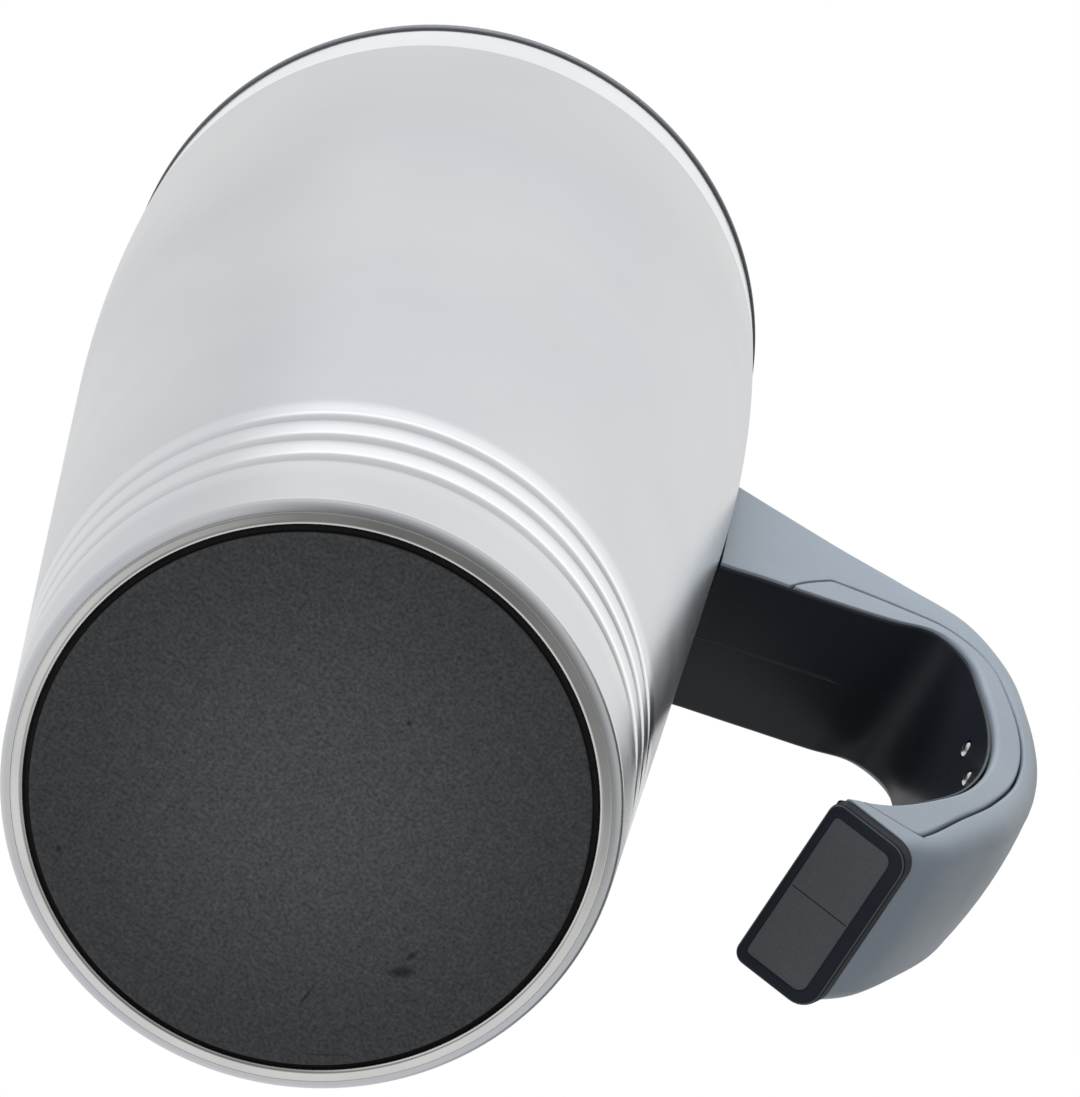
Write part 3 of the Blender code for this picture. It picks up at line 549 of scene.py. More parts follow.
class MUG_OT_liner(Operator):
    """Turn the liner with its round floor and its flare at the mouth"""
    bl_idname = "mug.liner"
    bl_label = "Liner"

    def execute(self, context):
        cup = context.scene.mug_cup
        top = cup.rim_height - BAND_WALL - cup.seam
        low = cup.liner_floor - cup.wall
        start = low + cup.liner_round
        outer = [top, *spread(cup.flare_end, cup.flare_start, 12),
                 *spread(cup.knee_height, start, 12)]
        corner = liner_radius(cup, start) - cup.liner_round
        profile = [(liner_radius(cup, z), z) for z in outer]
        profile += arc((corner, start), cup.liner_round, 0, -90, 12)[1:]
        profile += [(0, low), (0, cup.liner_floor)]
        profile += arc((corner, start), cup.liner_round - cup.wall, -90, 0, 12)[:-1]
        profile += [(liner_radius(cup, z) - cup.wall, z) for z in reversed(outer)]
        add_piece(turned("steel_liner", profile), ["liner_steel"], "cup", ["inner_liner"])
        return {"FINISHED"}


class MUG_OT_base(Operator):
    """Turn the base plate with its rolled bead, and the rubber pad inside the bead"""
    bl_idname = "mug.base"
    bl_label = "Base Plate and Pad"

    def execute(self, context):
        cup = context.scene.mug_cup
        low, high = (corner.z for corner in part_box("base_plate"))
        under = cup.pad_thickness + cup.seam
        bead_inner = cup.pad_radius + cup.pad_groove
        inner, soft = cup.bead_round, cup.joint_round
        profile = [(0, under), (bead_inner, under)]
        profile += arc((bead_inner + inner, low + inner), inner, -180, PLATE_SLOPE - 90, 10)
        edge = cup.plate_radius - soft
        roll = [(r, z) for r, z in reversed(foot_roll(cup, ROLL_STEPS)) if r < edge]
        profile += roll[1:] + arc((edge, roll[-1][1] + soft), soft, -80, 0, 4)
        profile += [(cup.plate_radius, high), (0, high)]
        add_piece(turned("rolled_base", profile), ["base_steel"], "cup", ["base_plate"])

        edge, top = cup.pad_edge, cup.pad_thickness
        profile = [(radius, 0) for radius in spread(0, cup.pad_radius - edge, 16)[:-1]]
        profile += arc((cup.pad_radius - edge, edge), edge, -90, 0, 8)
        # The pad reaches across the bottom of the gap as a sheet, a dark thing put where there is
        # only shade
        glue = top - cup.glue_depth
        reach = cup.pad_radius + cup.pad_groove - cup.hairline
        profile += [(cup.pad_radius, glue), (reach, glue), (reach, top), (0, top)]
        mesh = turned("rubber_pad", profile)
        add_piece(mesh, ["pad_rubber", "pad_glue"], "cup", ["base_pad"])
        # The pad's side and that sheet take the black second finish: painted shade
        side = cup.pad_radius * PAD_SIDE
        for face in mesh.polygons:
            face.material_index = int(face.center.z > edge and face.center.xy.length > side)
        return {"FINISHED"}


# Handle

def blend(values, place):
    """A smooth curve through evenly spaced values, read at a place between them."""
    index = min(int(place), len(values) - 2)
    t = place - index
    a, b, c, d = (values[min(max(index + shift, 0), len(values) - 1)] for shift in (-1, 0, 1, 2))
    return b + t * (c - a + t * (2 * a - 5 * b + 4 * c - d + t * (3 * (b - c) + d - a))) / 2


def station(context, place):
    """Outer point, directions inward and along the handle, depth and width at a place."""
    cup, handle = context.scene.mug_cup, context.scene.mug_handle
    across, up, deep, broad, lean = (blend(column, place) for column in zip(*HANDLE_ROWS))
    lean = math.radians(lean)
    outer = Vector((wall_radius(cup, handle.top) + across * handle.span, 0,
                    handle.top - (1 - up) * handle.length))
    inward = Vector((-math.cos(lean), 0, -math.sin(lean)))
    onward = Vector((math.sin(lean), 0, -math.cos(lean)))
    return outer, inward, onward, deep * handle.depth, broad * handle.width


def side_height(handle, place):
    """Height of the frame's side that shows between the cover and the grip."""
    ramps = [min(1, max(0, (place - none) / (full - none)))
             for none, full in (SIDE_START, SIDE_END)]
    return handle.side * blend(SIDE_SHARES, place) * ramps[0] ** 0.7 * ramps[1]


def mirrored(half, *middle):
    """Half an outline, any points in the middle, and the mirror image of that half."""
    return [*half, *middle, *((-wide, deep) for wide, deep in reversed(half))]


def cover_section(cup, handle, depth, half_width, side, place):
    """A channel with a crowned back, whose soft lower edges end at the parting line."""
    bottom = depth - max(side, handle.grip_flange + cup.seam)
    inner = half_width - handle.cover_wall
    under = handle.cover_wall + handle.crown
    edge, crown, corner = handle.edge, handle.crown, handle.corner
    flat = half_width - corner
    half = [(half_width - edge, bottom)] + arc((half_width - edge, bottom - edge), edge, 60, 0, 2)
    half += [(half_width, max((bottom - edge + crown + corner) / 2, bottom - 4 * edge))]
    half += arc((flat, crown + corner), corner, 0, -90, 10)
    half += [(flat * out, crown * out * out) for out in (0.75, 0.5, 0.25)]
    return mirrored(half, (0, 0)) + [(-inner, bottom), (-inner, under), (inner, under),
                                     (inner, bottom)]


def frame_section(cup, handle, depth, half_width, side, place):
    """The core: a tongue inside the cover, a foot where its side shows, and the grip's bed."""
    narrow = half_width - handle.cover_wall - cup.seam
    flange = handle.grip_flange + cup.seam
    bottom = depth - flange
    shown = max(0, side - flange - cup.seam)
    wide = narrow + (half_width - narrow) * smooth_step(shown / handle.edge / 2)
    shoulder = bottom - max(shown, handle.edge / 2)
    round_off = min(side_rounding(handle, place), (bottom - shoulder) * 0.6)
    edge = min(handle.edge, (bottom - shoulder) * 0.3)
    lip = half_width - handle.grip_inset
    half = [(narrow, handle.cover_wall + handle.crown + cup.seam), (narrow, shoulder)]
    half += arc((wide - edge, shoulder + edge), edge, -90, 0, 3)
    half += arc((wide - round_off, bottom - round_off), round_off, 0, 90, 6)
    half += [(lip, bottom), (lip, depth - handle.grip_thickness - cup.seam)]
    return mirrored(half)


def grip_section(cup, handle, depth, half_width, side, place):
    """The strip on the inner face: a body in the frame's bed, soft edges and a mould line."""
    body = half_width - handle.grip_inset - cup.seam
    reach = half_width - side_rounding(handle, place)
    flange = handle.grip_flange
    line = handle.mould_line
    raised = line * smooth_step((ROOT_ROW + 1 - place) * 2)
    half = [(body, depth - handle.grip_thickness), (body, depth - flange),
            (reach - flange / 4, depth - flange)]
    half += arc((reach - flange, depth - flange), flange, 15, 90, 4)
    half += [(reach * 0.6, depth), (line * 3, depth), (line * 1.5, depth),
             (line / 2, depth + raised)]
    return mirrored(half)


def side_rounding(handle, place):
    """Round of the frame's inner edge, which is small along the arm and full round the bend."""
    return handle.side_round * (0.3 + 0.7 * smooth_step((place - 4.5) / 2))


def handle_skin(name, context, section):
    """Mesh of a cross-section carried along the handle from the cup's wall to the end."""
    cup, handle = context.scene.mug_cup, context.scene.mug_handle

    def point(place, index):
        outer, inward, onward, depth, width = station(context, place)
        side = side_height(handle, place)
        wide, deep = section(cup, handle, depth, width / 2, side, place)[index]
        return outer + inward * deep + Vector((0, wide, 0))

    def clearance(spot):
        return math.hypot(spot.x, spot.y) - wall_radius(cup, spot.z) - cup.seam

    depth, width = station(context, 0)[3:]
    count = len(section(cup, handle, depth, width / 2, 0, 0))
    starts = []
    for index in range(count):
        low, high = 0, ROOT_ROW
        for _ in range(SEARCH_STEPS):
            middle = (low + high) / 2
            if clearance(point(middle, index)) < 0:
                low = middle
            else:
                high = middle
        starts.append(high)
    rings = []
    for step in range(ROOT_STEPS + 1):
        t = step / ROOT_STEPS
        rings.append([point(start + (ROOT_ROW - start) * t, index)
                      for index, start in enumerate(starts)])
    for place in spread(ROOT_ROW, LAST_ROW, int((LAST_ROW - ROOT_ROW) * STEPS_PER_ROW) + 1)[1:]:
        rings.append([point(place, index) for index in range(count)])
    return lofted(name, rings)


class MUG_OT_handle(Operator):
    """Loft the handle's cover, frame and grip"""
    bl_idname = "mug.handle"
    bl_label = "Handle"

    def execute(self, context):
        cup, handle = context.scene.mug_cup, context.scene.mug_handle
        for name, section, cad_node in (("handle_shell", cover_section, "handle_cover"),
                                        ("handle_core", frame_section, "handle_frame")):
            add_piece(handle_skin(name, context, section), ["slate_plastic"], "cup", [cad_node])
        drills = []
        for number in SCREWS:
            drills.append(rod(f"drill_{number}", handle.screw_head + cup.seam, *DRILL_REACH))
            drills[-1].transform(along(*screw_seat(context, number)))
        add_piece(carved(handle_skin("grip_strip", context, grip_section), drills),
                  ["black_plastic"], "cup", ["handle_grip"])
        return {"FINISHED"}


def along(seat, direction):
    """Matrix that puts local Z along a direction at a seat."""
    turn = Vector((0, 0, 1)).rotation_difference(direction)
    return Matrix.Translation(seat) @ turn.to_matrix().to_4x4()


def screw_seat(context, number):
    """Where a cover screw's head sits, and the way it faces, from its node's box."""
    low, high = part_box(f"cover_screw_{number}")
    middle = (low + high) / 2
    place, step = LAST_ROW / 2, LAST_ROW / 4
    for _ in range(SEARCH_STEPS):
        outer, inward, onward, depth, width = station(context, place)
        place += step if (middle - outer).dot(onward) > 0 else -step
        step /= 2
    seat = outer + inward * (depth - context.scene.mug_handle.grip_thickness)
    return Vector((seat.x, middle.y, seat.z)), inward


class MUG_OT_screws(Operator):
    """Turn the four small screws that hold the cover, with a cross cut in each head"""
    bl_idname = "mug.screws"
    bl_label = "Cover Screws"

    def execute(self, context):
        handle = context.scene.mug_handle
        head, shank = handle.screw_head, SCREW_SHANK
        dome, slot_width, slot_corner = head * 0.7, head * 0.22, head * 0.1
        slot_depth = dome * 0.4
        rise = handle.grip_thickness + handle.screw_rise
        profile = [(0, rise)] + arc((0, rise - dome), (head, dome), 80, 0, 9)
        profile += [(shank, 0), (shank, shank - SCREW_REACH), (0, -SCREW_REACH)]
        for number in SCREWS:
            bars = [rounded_block(f"bar_{turn}", 0, head, slot_width, slot_corner,
                                  rise - slot_depth, rise * 2) for turn in range(2)]
            bars[1].transform(Matrix.Rotation(math.pi / 2, 4, "Z"))
            screw = carved(turned(f"small_screw_{number}", profile, SMALL_ROUND_STEPS), bars)
            add_piece(screw, ["plated_screw"], "cup", [f"cover_screw_{number}"],
                      along(*screw_seat(context, number)))
        return {"FINISHED"}


class MUG_OT_end_cap(Operator):
    """Loft the cap on the handle's free end, with its raised border and divided panel"""
    bl_idname = "mug.end_cap"
    bl_label = "End Cap"

    def execute(self, context):
        cup, handle = context.scene.mug_cup, context.scene.mug_handle
        outer, inward, onward, depth, width = station(context, LAST_ROW)
        centre = outer + inward * depth / 2
        top = cup.seam + handle.cap_thickness
        soft, border, shift = handle.cap_round, handle.cap_border, handle.cap_shift
        recess = handle.cap_recess
        line_low, panel_low, panel_high = (top - recess * share for share in (1.4, 1.2, 0.9))

        def spot(x, y, rise):
            return centre + inward * x + onward * rise + Vector((0, y, 0))

        steps = [(0, cup.hairline, 0)]
        steps += [(soft - x, top - soft + z, 0) for x, z in arc((0, 0), soft, 0, 90, 6)]
        ease = arc((0, 0), (recess, recess / 2), 90, 0, 4)
        step_middle = top - recess / 2
        steps += [(border + x, step_middle + z, shift) for x, z in ease]
        steps += [(border + 2 * recess - x, step_middle - z, shift) for x, z in reversed(ease)]
        rings = []
        for inset, rise, moved in steps:
            inset += handle.cap_inset
            outline = rounded_rectangle(depth - 2 * inset, width - 2 * inset,
                                        max(handle.corner - inset, handle.corner / 3),
                                        max(handle.cap_corner - inset, handle.cap_corner / 3))
            rings.append([spot(x + moved, y, rise) for x, y in outline])
        reach = depth / 2 - border - 2 * recess - handle.cap_inset
        line = [[spot(shift + reach * x, handle.cap_line / 2 * y, rise)
                 for x, y in ((-1, -1), (1, -1), (1, 1), (-1, 1))]
                for rise in (line_low, top + recess)]
        mesh = carved(lofted("end_cap", rings), [lofted("cap_line", line)])
        add_piece(mesh, ["cap_border", "cap_panel"], "cup", ["handle_end_cap"])
        for face in mesh.polygons:
            face.material_index = int(panel_low < (face.center - centre).dot(onward) < panel_high)
        return {"FINISHED"}


# Lid

def slider_places():
    """The slider's places along X, its sizes and its travel, from the boxes and its joint."""
    low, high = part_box("lid_slider")
    clip_low, clip_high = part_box("slider_retainer")
    return SimpleNamespace(start=low.x, length=high.x - low.x, middle=(low.x + high.x) / 2,
                           width=high.y - low.y, stem=(clip_low.x + clip_high.x) / 2,
                           travel=frame["joints"][1]["range_m"][1])


class MUG_OT_lid(Operator):
    """Turn the lid, cut its slots, and turn the gasket that seals it"""
    bl_idname = "mug.lid"
    bl_label = "Lid and Gasket"

    def execute(self, context):
        cup, lid = context.scene.mug_cup, context.scene.mug_lid
        bottom = cup.rim_height + cup.seam
        deck_top = lid.top - lid.deck_drop
        deck_low = deck_top - lid.deck
        gasket = bottom - lid.gasket_drop
        groove = lid.gasket_section + cup.seam
        groove_radius = lid.skirt_radius - GROOVE_DEPTH
        edge_outer = cup.rim_radius - lid.round
        edge_inner = edge_outer - lid.edge_width
        half = lid.round / 2
        flange_top = bottom + lid.flange
        flange_edge = cup.rim_radius + lid.flange_reach
        deck_edge = edge_inner - lid.round
        profile = [(r, deck_top) for r in spread(0, deck_edge, 12)]
        profile += arc((deck_edge, deck_top + lid.round), lid.round, -90, 0, 8)[1:]
        profile += arc((edge_inner + half, lid.top - half), half, 180, 90, 6)
        profile += arc((edge_outer - lid.round, lid.top - lid.round), lid.round, 90, 0, 8)
        profile += arc((edge_outer + half, flange_top + half), half, 180, 270, 6)
        profile += arc((flange_edge - half, flange_top - half), half, 90, 0, 6)
        profile += arc((flange_edge - cup.seam, bottom + cup.seam), cup.seam, 0, -90, 3)
        profile += [(lid.skirt_radius, bottom), (lid.skirt_radius, gasket + groove),
                    (groove_radius, gasket + groove), (groove_radius, gasket - groove),
                    (lid.skirt_radius, gasket - groove)]
        low = bottom - lid.skirt_depth
        inner = lid.skirt_radius - lid.skirt_wall
        profile += arc((lid.skirt_radius - half, low + half), half, 0, -90, 4)
        profile += [(inner, low), (inner, deck_low), (0, deck_low)]

        slider = slider_places()
        slack = 2 * cup.seam
        through = (deck_low - OVERRUN, deck_top + OVERRUN)
        vent = rod("vent", VENT_RADIUS, *through)
        vent.transform(Matrix.Translation((deck_edge - VENT_INSET, 0, 0)))
        cuts = [
            rounded_block("channel", slider.middle + slider.travel / 2,
                          slider.length + slider.travel + slack, slider.width + slack,
                          SLIDER_CORNER, deck_top - lid.channel, deck_top + OVERRUN),
            rounded_block("drink_slot", slider.start + SLOT_PLACE, SLOT_LENGTH, SLOT_WIDTH,
                          SLIDER_CORNER, *through),
            rounded_block("stem_slot", slider.stem + slider.travel / 2,
                          STEM_LENGTH + slider.travel + slack, STEM_WIDTH + slack,
                          STEM_SLOT_CORNER, *through),
            vent,
        ]
        add_piece(carved(turned("lid_shell", profile), cuts), ["lid_plastic"], "lid",
                  ["lid_body"])

        near = groove_radius + cup.seam
        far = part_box("lid_gasket")[1].x
        tall = lid.gasket_section * 0.85
        lip = tall / 3
        section = [(near, gasket - tall), (near + lip, gasket - tall)]
        section += arc((far - lip, gasket - tall * LIP_PLACE), lip, -90, 90, 6)
        section += [(near + lip * 1.5, gasket)]
        section += arc((far - lip, gasket + tall * LIP_PLACE), lip, -90, 90, 6)
        section += [(near + lip, gasket + tall), (near, gasket + tall)]
        add_piece(turned("gasket_ring", section), ["silicone"], "lid", ["lid_gasket"])
        return {"FINISHED"}


class MUG_OT_slider(Operator):
    """Shape the slider with its thumb ridges, and the clip that holds it under the deck"""
    bl_idname = "mug.slider"
    bl_label = "Slider and Clip"

    def execute(self, context):
        cup, lid = context.scene.mug_cup, context.scene.mug_lid
        slider = slider_places()
        bottom = lid.top - lid.deck_drop - lid.channel + cup.seam
        top = bottom + lid.slider_thickness
        clip_low, clip_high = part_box("slider_retainer")
        root = bottom + RIDGE_RISE
        parts = [rounded_block("stem", slider.stem, STEM_LENGTH, STEM_WIDTH, STEM_CORNER,
                               clip_low.z, root)]
        for ridge in (-1, 0, 1):
            place = slider.start + RIDGE_PLACE + RIDGE_PITCH * ridge
            parts.append(rounded_block(f"ridge_{ridge}", place, RIDGE_WIDTH, RIDGE_LENGTH,
                                       RIDGE_CORNER, root, top + RIDGE_RISE, RIDGE_EDGE))
        body = rounded_block("thumb_slide", slider.middle, slider.length, slider.width,
                             SLIDER_CORNER, bottom, top, SLIDER_EDGE)
        add_piece(carved(body, joins=parts), ["black_plastic"], "slider", ["lid_slider"])

        clip = rounded_block("slide_clip", slider.stem, clip_high.x - clip_low.x,
                             clip_high.y - clip_low.y, SLIDER_CORNER, clip_low.z, clip_high.z,
                             CLIP_EDGE)
        slot = rounded_block("clip_slot", slider.stem, STEM_LENGTH + 2 * cup.seam,
                             STEM_WIDTH + 2 * cup.seam, CLIP_SLOT_CORNER,
                             clip_low.z - MM, clip_high.z + MM)
        add_piece(carved(clip, [slot]), ["black_plastic"], "slider", ["slider_retainer"])
        return {"FINISHED"}


class MUG_OT_inside(Operator):
    """Finish the pieces inside the walls, which keep their CAD shapes"""
    bl_idname = "mug.inside"
    bl_label = "Pieces inside the Walls"

    def execute(self, context):
        for cad_node, name in (("insulation_sleeve", "foam"), ("insulation_disc", "foam"),
                               ("mount_plate", "liner_steel"), ("mount_screw_1", "plated_screw"),
                               ("mount_screw_2", "plated_screw")):
            dress(frame["nodes"][cad_node].data, name)
        return {"FINISHED"}


# Finishes

def feed(tree, made, inputs):
    """Give each input of a shader node a value, or join it to a socket."""
    for label, value in inputs.items():
        socket = made.inputs[label]
        if isinstance(value, NodeSocket):
            tree.links.new(value, socket)
        else:
            socket.default_value = (*value, 1) if socket.type == "RGBA" else value


def node(tree, kind, inputs=(), **settings):
    """A new shader node with its settings and inputs."""
    made = tree.nodes.new(kind)
    for key, value in settings.items():
        setattr(made, key, value)
    feed(tree, made, dict(inputs))
    return made


def maths(tree, operation, first, second=0):
    """The result of two values, each a socket or a number."""
    return node(tree, "ShaderNodeMath", {0: first, 1: second}, operation=operation).outputs[0]


def times(tree, *values):
    """The product of values, each a socket or a number."""
    product = values[0]
    for value in values[1:]:
        product = maths(tree, "MULTIPLY", product, value)
    return product


def vectors(tree, operation, first, inputs=()):
    """The outputs of a vector operation on one value, with any other inputs it takes."""
    inputs = {0: first, **dict(inputs)}
    return node(tree, "ShaderNodeVectorMath", inputs, operation=operation).outputs


def stretch(tree, value, low, high, to_low=0, to_high=1, **settings):
    """A value mapped from one range to another and held inside it."""
    inputs = {"Value": value, "From Min": low, "From Max": high,
              "To Min": to_low, "To Max": to_high}
    return node(tree, "ShaderNodeMapRange", inputs, **settings).outputs["Result"]


def mix_colours(tree, share, first, second):
    inputs = {0: share, 6: first, 7: second}
    return node(tree, "ShaderNodeMix", inputs, data_type="RGBA").outputs[2]


def object_place(tree):
    return node(tree, "ShaderNodeTexCoord").outputs["Object"]


def noise(tree, scale, detail=2, roughness=0.5, squash=None):
    """Noise on the object's own coordinates, which can be squashed along each axis."""
    place = object_place(tree)
    if squash:
        inputs = {"Vector": place, "Scale": squash}
        place = node(tree, "ShaderNodeMapping", inputs).outputs["Vector"]
    inputs = {"Vector": place, "Scale": scale, "Detail": detail, "Roughness": roughness}
    return node(tree, "ShaderNodeTexNoise", inputs).outputs["Fac"]


def brushed_lines(tree, given):
    """Fine lines round the axis, as a turned and brushed wall has."""
    lines = noise(tree, given["Fineness"], 3, 0.6, (0.012, 0.012, 1))
    change = times(tree, maths(tree, "SUBTRACT", lines, 0.5), given["Tone Change"])
    return {"Height": lines, "Tone": maths(tree, "ADD", change, 1)}


def tone_drift(tree, given):
    """A slow change between two tones across the piece."""
    drift = stretch(tree, noise(tree, given["Scale"]), 0.35, 0.65)
    return {"Color": mix_colours(tree, drift, given["First"], given["Second"])}


def fine_grain(tree, given):
    """The fine texture of moulded plastic and rubber."""
    grain = noise(tree, given["Fineness"], 3, 0.65)
    return {"Height": grain, "Specks": stretch(tree, grain, 0.3, 0.7)}


def edge_wear_and_highlight(tree, given):
    """A mask of convex edges to lighten, broken up by noise: partly from use, partly a painted
    highlight.
    """
    edges = node(tree, "ShaderNodeNewGeometry").outputs["Pointiness"]
    broken = stretch(tree, noise(tree, 260, 3), 0.35, 0.6)
    return {"Mask": times(tree, stretch(tree, edges, given["Start"], given["Full"]), broken)}


def ring_highlight_and_shade(tree, given):
    """Masks of the pressed rings by height: crests for a painted highlight, cuts for painted shade.
    """
    height = node(tree, "ShaderNodeSeparateXYZ", {"Vector": object_place(tree)}).outputs["Z"]
    turns = maths(tree, "DIVIDE", maths(tree, "SUBTRACT", height, given["First"]), given["Pitch"])
    left = maths(tree, "SUBTRACT", given["Count"], turns)
    middle = maths(tree, "SUBTRACT", maths(tree, "FRACT", turns), 0.5)
    crest = stretch(tree, maths(tree, "ABSOLUTE", middle), 0.42, 0.16)
    near_cut = maths(tree, "PINGPONG", maths(tree, "ADD", turns, 0.42), 0.5)
    return {"Crest": times(tree, crest, stretch(tree, turns, -0.9, 0),
                           stretch(tree, left, -0.2, 0.15)),
            "Cut": times(tree, stretch(tree, near_cut, 0.36, 0.46),
                         stretch(tree, turns, -0.15, -0.1), stretch(tree, left, 0.8, 0.9))}


# Marks on the rubber pad: place in millimetres, angle in degrees, half the length and width in
# millimetres, and how dark
PAD_MARKS = (
    (18.2, 11.1, -38, 1.4, 0.65, 0.65),
    (18.1, 9.1, -74, 1.0, 0.3, 0.55),
    (11.0, 19.0, -84, 1.3, 0.2, 0.5),
    (4.3, -13.3, 0, 0.3, 0.3, 0.6),
    (-19.8, 19.1, 0, 0.35, 0.35, 0.6),
    (-3.4, -6.8, -52, 0.6, 0.15, 0.35),
    (1.2, 12.0, 10, 0.5, 0.25, 0.3),
    (16.2, 23.7, -32, 2.4, 0.12, 0.4),
)


def pad_marks_and_shade(tree, given):
    """A tone for the rubber pad: painted shade darkening it from middle to edge, with smudges and
    nicks of use.
    """
    place = object_place(tree)
    # Painted shade: the tone falls from the middle of the pad to its edge
    tone = stretch(tree, vectors(tree, "LENGTH", place)["Value"], 4 * MM, 31 * MM,
                   given["Middle"], given["Edge"], interpolation_type="SMOOTHSTEP")
    for x, y, angle, half_length, half_width, dark in PAD_MARKS:
        spot = node(tree, "ShaderNodeMapping", {
            "Vector": place, "Location": (x * MM, y * MM, 0),
            "Rotation": (0, 0, math.radians(angle)),
            "Scale": (half_length * MM, half_width * MM, 100)}, vector_type="TEXTURE")
        reach = vectors(tree, "LENGTH", spot.outputs["Vector"])["Value"]
        tone = times(tree, tone, stretch(tree, reach, 0.5, 1.3, 1 - dark, 1))
    return {"Tone": tone}


def handling_marks(tree, given):
    """Soft smudges that change the gloss."""
    smudge = noise(tree, given["Scale"], 4, 0.6)
    return {"Roughness": stretch(tree, smudge, 0.3, 0.7, given["Low"], given["High"])}


# Each shader group: what makes its nodes, and its inputs with their usual values
GROUPS = {
    "Brushed Lines": (brushed_lines, {"Fineness": 2600, "Tone Change": 0.03}),
    "Tone Drift": (tone_drift, {"First": (0.6, 0.6, 0.6, 1), "Second": (0.7, 0.7, 0.7, 1),
                                "Scale": 20}),
    "Fine Grain": (fine_grain, {"Fineness": 3000}),
    "Edge Wear And Highlight": (edge_wear_and_highlight, {"Start": 0.53, "Full": 0.60}),
    "Ring Polish": (ring_highlight_and_shade, {"First": 14 * MM, "Pitch": 6.1 * MM, "Count": 3}),
    "Pad Marks": (pad_marks_and_shade, {"Middle": 1.14, "Edge": 0.71}),
    "Handling Marks": (handling_marks, {"Scale": 45, "Low": 0.3, "High": 0.4}),
}


def shader_group(name):
    """The named group with its named inputs and outputs, made the first time it is asked for."""
    if name in bpy.data.node_groups:
        return bpy.data.node_groups[name]
    group = bpy.data.node_groups.new(name, "ShaderNodeTree")

    def add_socket(label, way, coloured):
        kind = "NodeSocketColor" if coloured else "NodeSocketFloat"
        return group.interface.new_socket(name=label, in_out=way, socket_type=kind)

    maker, inputs = GROUPS[name]
    for label, default in inputs.items():
        add_socket(label, "INPUT", isinstance(default, tuple)).default_value = default
    results = maker(group, node(group, "NodeGroupInput").outputs)
    for label in results:
        add_socket(label, "OUTPUT", label == "Color")
    node(group, "NodeGroupOutput", results)
    return group


class Finish:
    """A material in the making: its nodes, its shader, and short ways to join them."""

    def __init__(self, name, **uniform):
        self.material = bpy.data.materials.new(name)
        self.material.use_nodes = True
        self.tree = self.material.node_tree
        self.feed(**uniform)

    def feed(self, **inputs):
        inputs = {label.replace("_", " "): value for label, value in inputs.items()}
        feed(self.tree, self.tree.nodes["Principled BSDF"], inputs)

    def group(self, name, **inputs):
        made = node(self.tree, "ShaderNodeGroup", node_tree=shader_group(name))
        feed(self.tree, made, {label.replace("_", " "): value for label, value in inputs.items()})
        return made.outputs

    def drift(self, first, second, scale):
        return self.group("Tone Drift", First=first, Second=second, Scale=scale)["Color"]

    def smudges(self, scale, low, high):
        return self.group("Handling Marks", Scale=scale, Low=low, High=high)["Roughness"]

    def bump(self, height, distance, strength):
        made = node(self.tree, "ShaderNodeBump", {"Height": height, "Distance": distance,
                                                  "Strength": strength})
        self.feed(Normal=made.outputs["Normal"])

    def tinted(self, tone, change):
        """A colour made lighter or darker by a tone value."""
        return vectors(self.tree, "SCALE", tone, {"Scale": change})["Vector"]


def shades(base, change):
    """A colour a little darker and a little lighter than the one given."""
    return [tuple(min(1, c * scale) for c in base) for scale in (1 - change, 1 + change)]


def wall_steel(name, colours):
    """Satin steel in two tones; painted highlight and more gloss on ring crests, painted shade in
    cuts.
    """
    made = Finish(name, Metallic=1)
    tree = made.tree
    lines = made.group("Brushed Lines", Fineness=2200, Tone_Change=0.05)
    rings = made.group("Ring Polish")
    tone = made.tinted(made.drift(colours.steel, colours.steel_warm, 22), lines["Tone"])
    # Painted highlight: the crests' colour is mixed toward a lighter steel
    tone = mix_colours(tree, times(tree, rings["Crest"], 0.34), tone, colours.steel_crest)
    # Painted shade: the colour in the rings' cuts is made a little darker
    made.feed(Base_Color=made.tinted(tone, stretch(tree, rings["Cut"], 0, 1, 1, 0.98)))
    gloss = maths(tree, "SUBTRACT", made.smudges(38, 0.22, 0.28), times(tree, rings["Crest"], 0.08))
    made.feed(Roughness=gloss)
    made.bump(lines["Height"], 0.02 * MM, 0.35)
    return made.material


def turned_steel(name, colours, base, change, drift, lines, streaks, smudges, gloss, depth,
                 strength):
    """Bright steel with fine lines round its axis.

    The settings are the colour, how much it changes and at what scale, the lines' fineness and
    contrast, the smudges' scale, the range of the roughness, and the bump's depth in millimetres
    and its strength.
    """
    made = Finish(name, Metallic=1)
    lines = made.group("Brushed Lines", Fineness=lines, Tone_Change=streaks)
    tone = made.drift(*shades(getattr(colours, base), change), drift)
    made.feed(Base_Color=made.tinted(tone, lines["Tone"]), Roughness=made.smudges(smudges, *gloss))
    made.bump(lines["Height"], depth * MM, strength)
    return made.material


def small_steel(name, colours):
    """Plated steel of the screws."""
    made = Finish(name, Metallic=1)
    made.feed(Base_Color=made.drift(*shades(colours.screw, 0.08), 400),
              Roughness=made.smudges(500, 0.16, 0.30))
    made.bump(made.group("Fine Grain", Fineness=2400)["Height"], 0.01 * MM, 0.3)
    return made.material


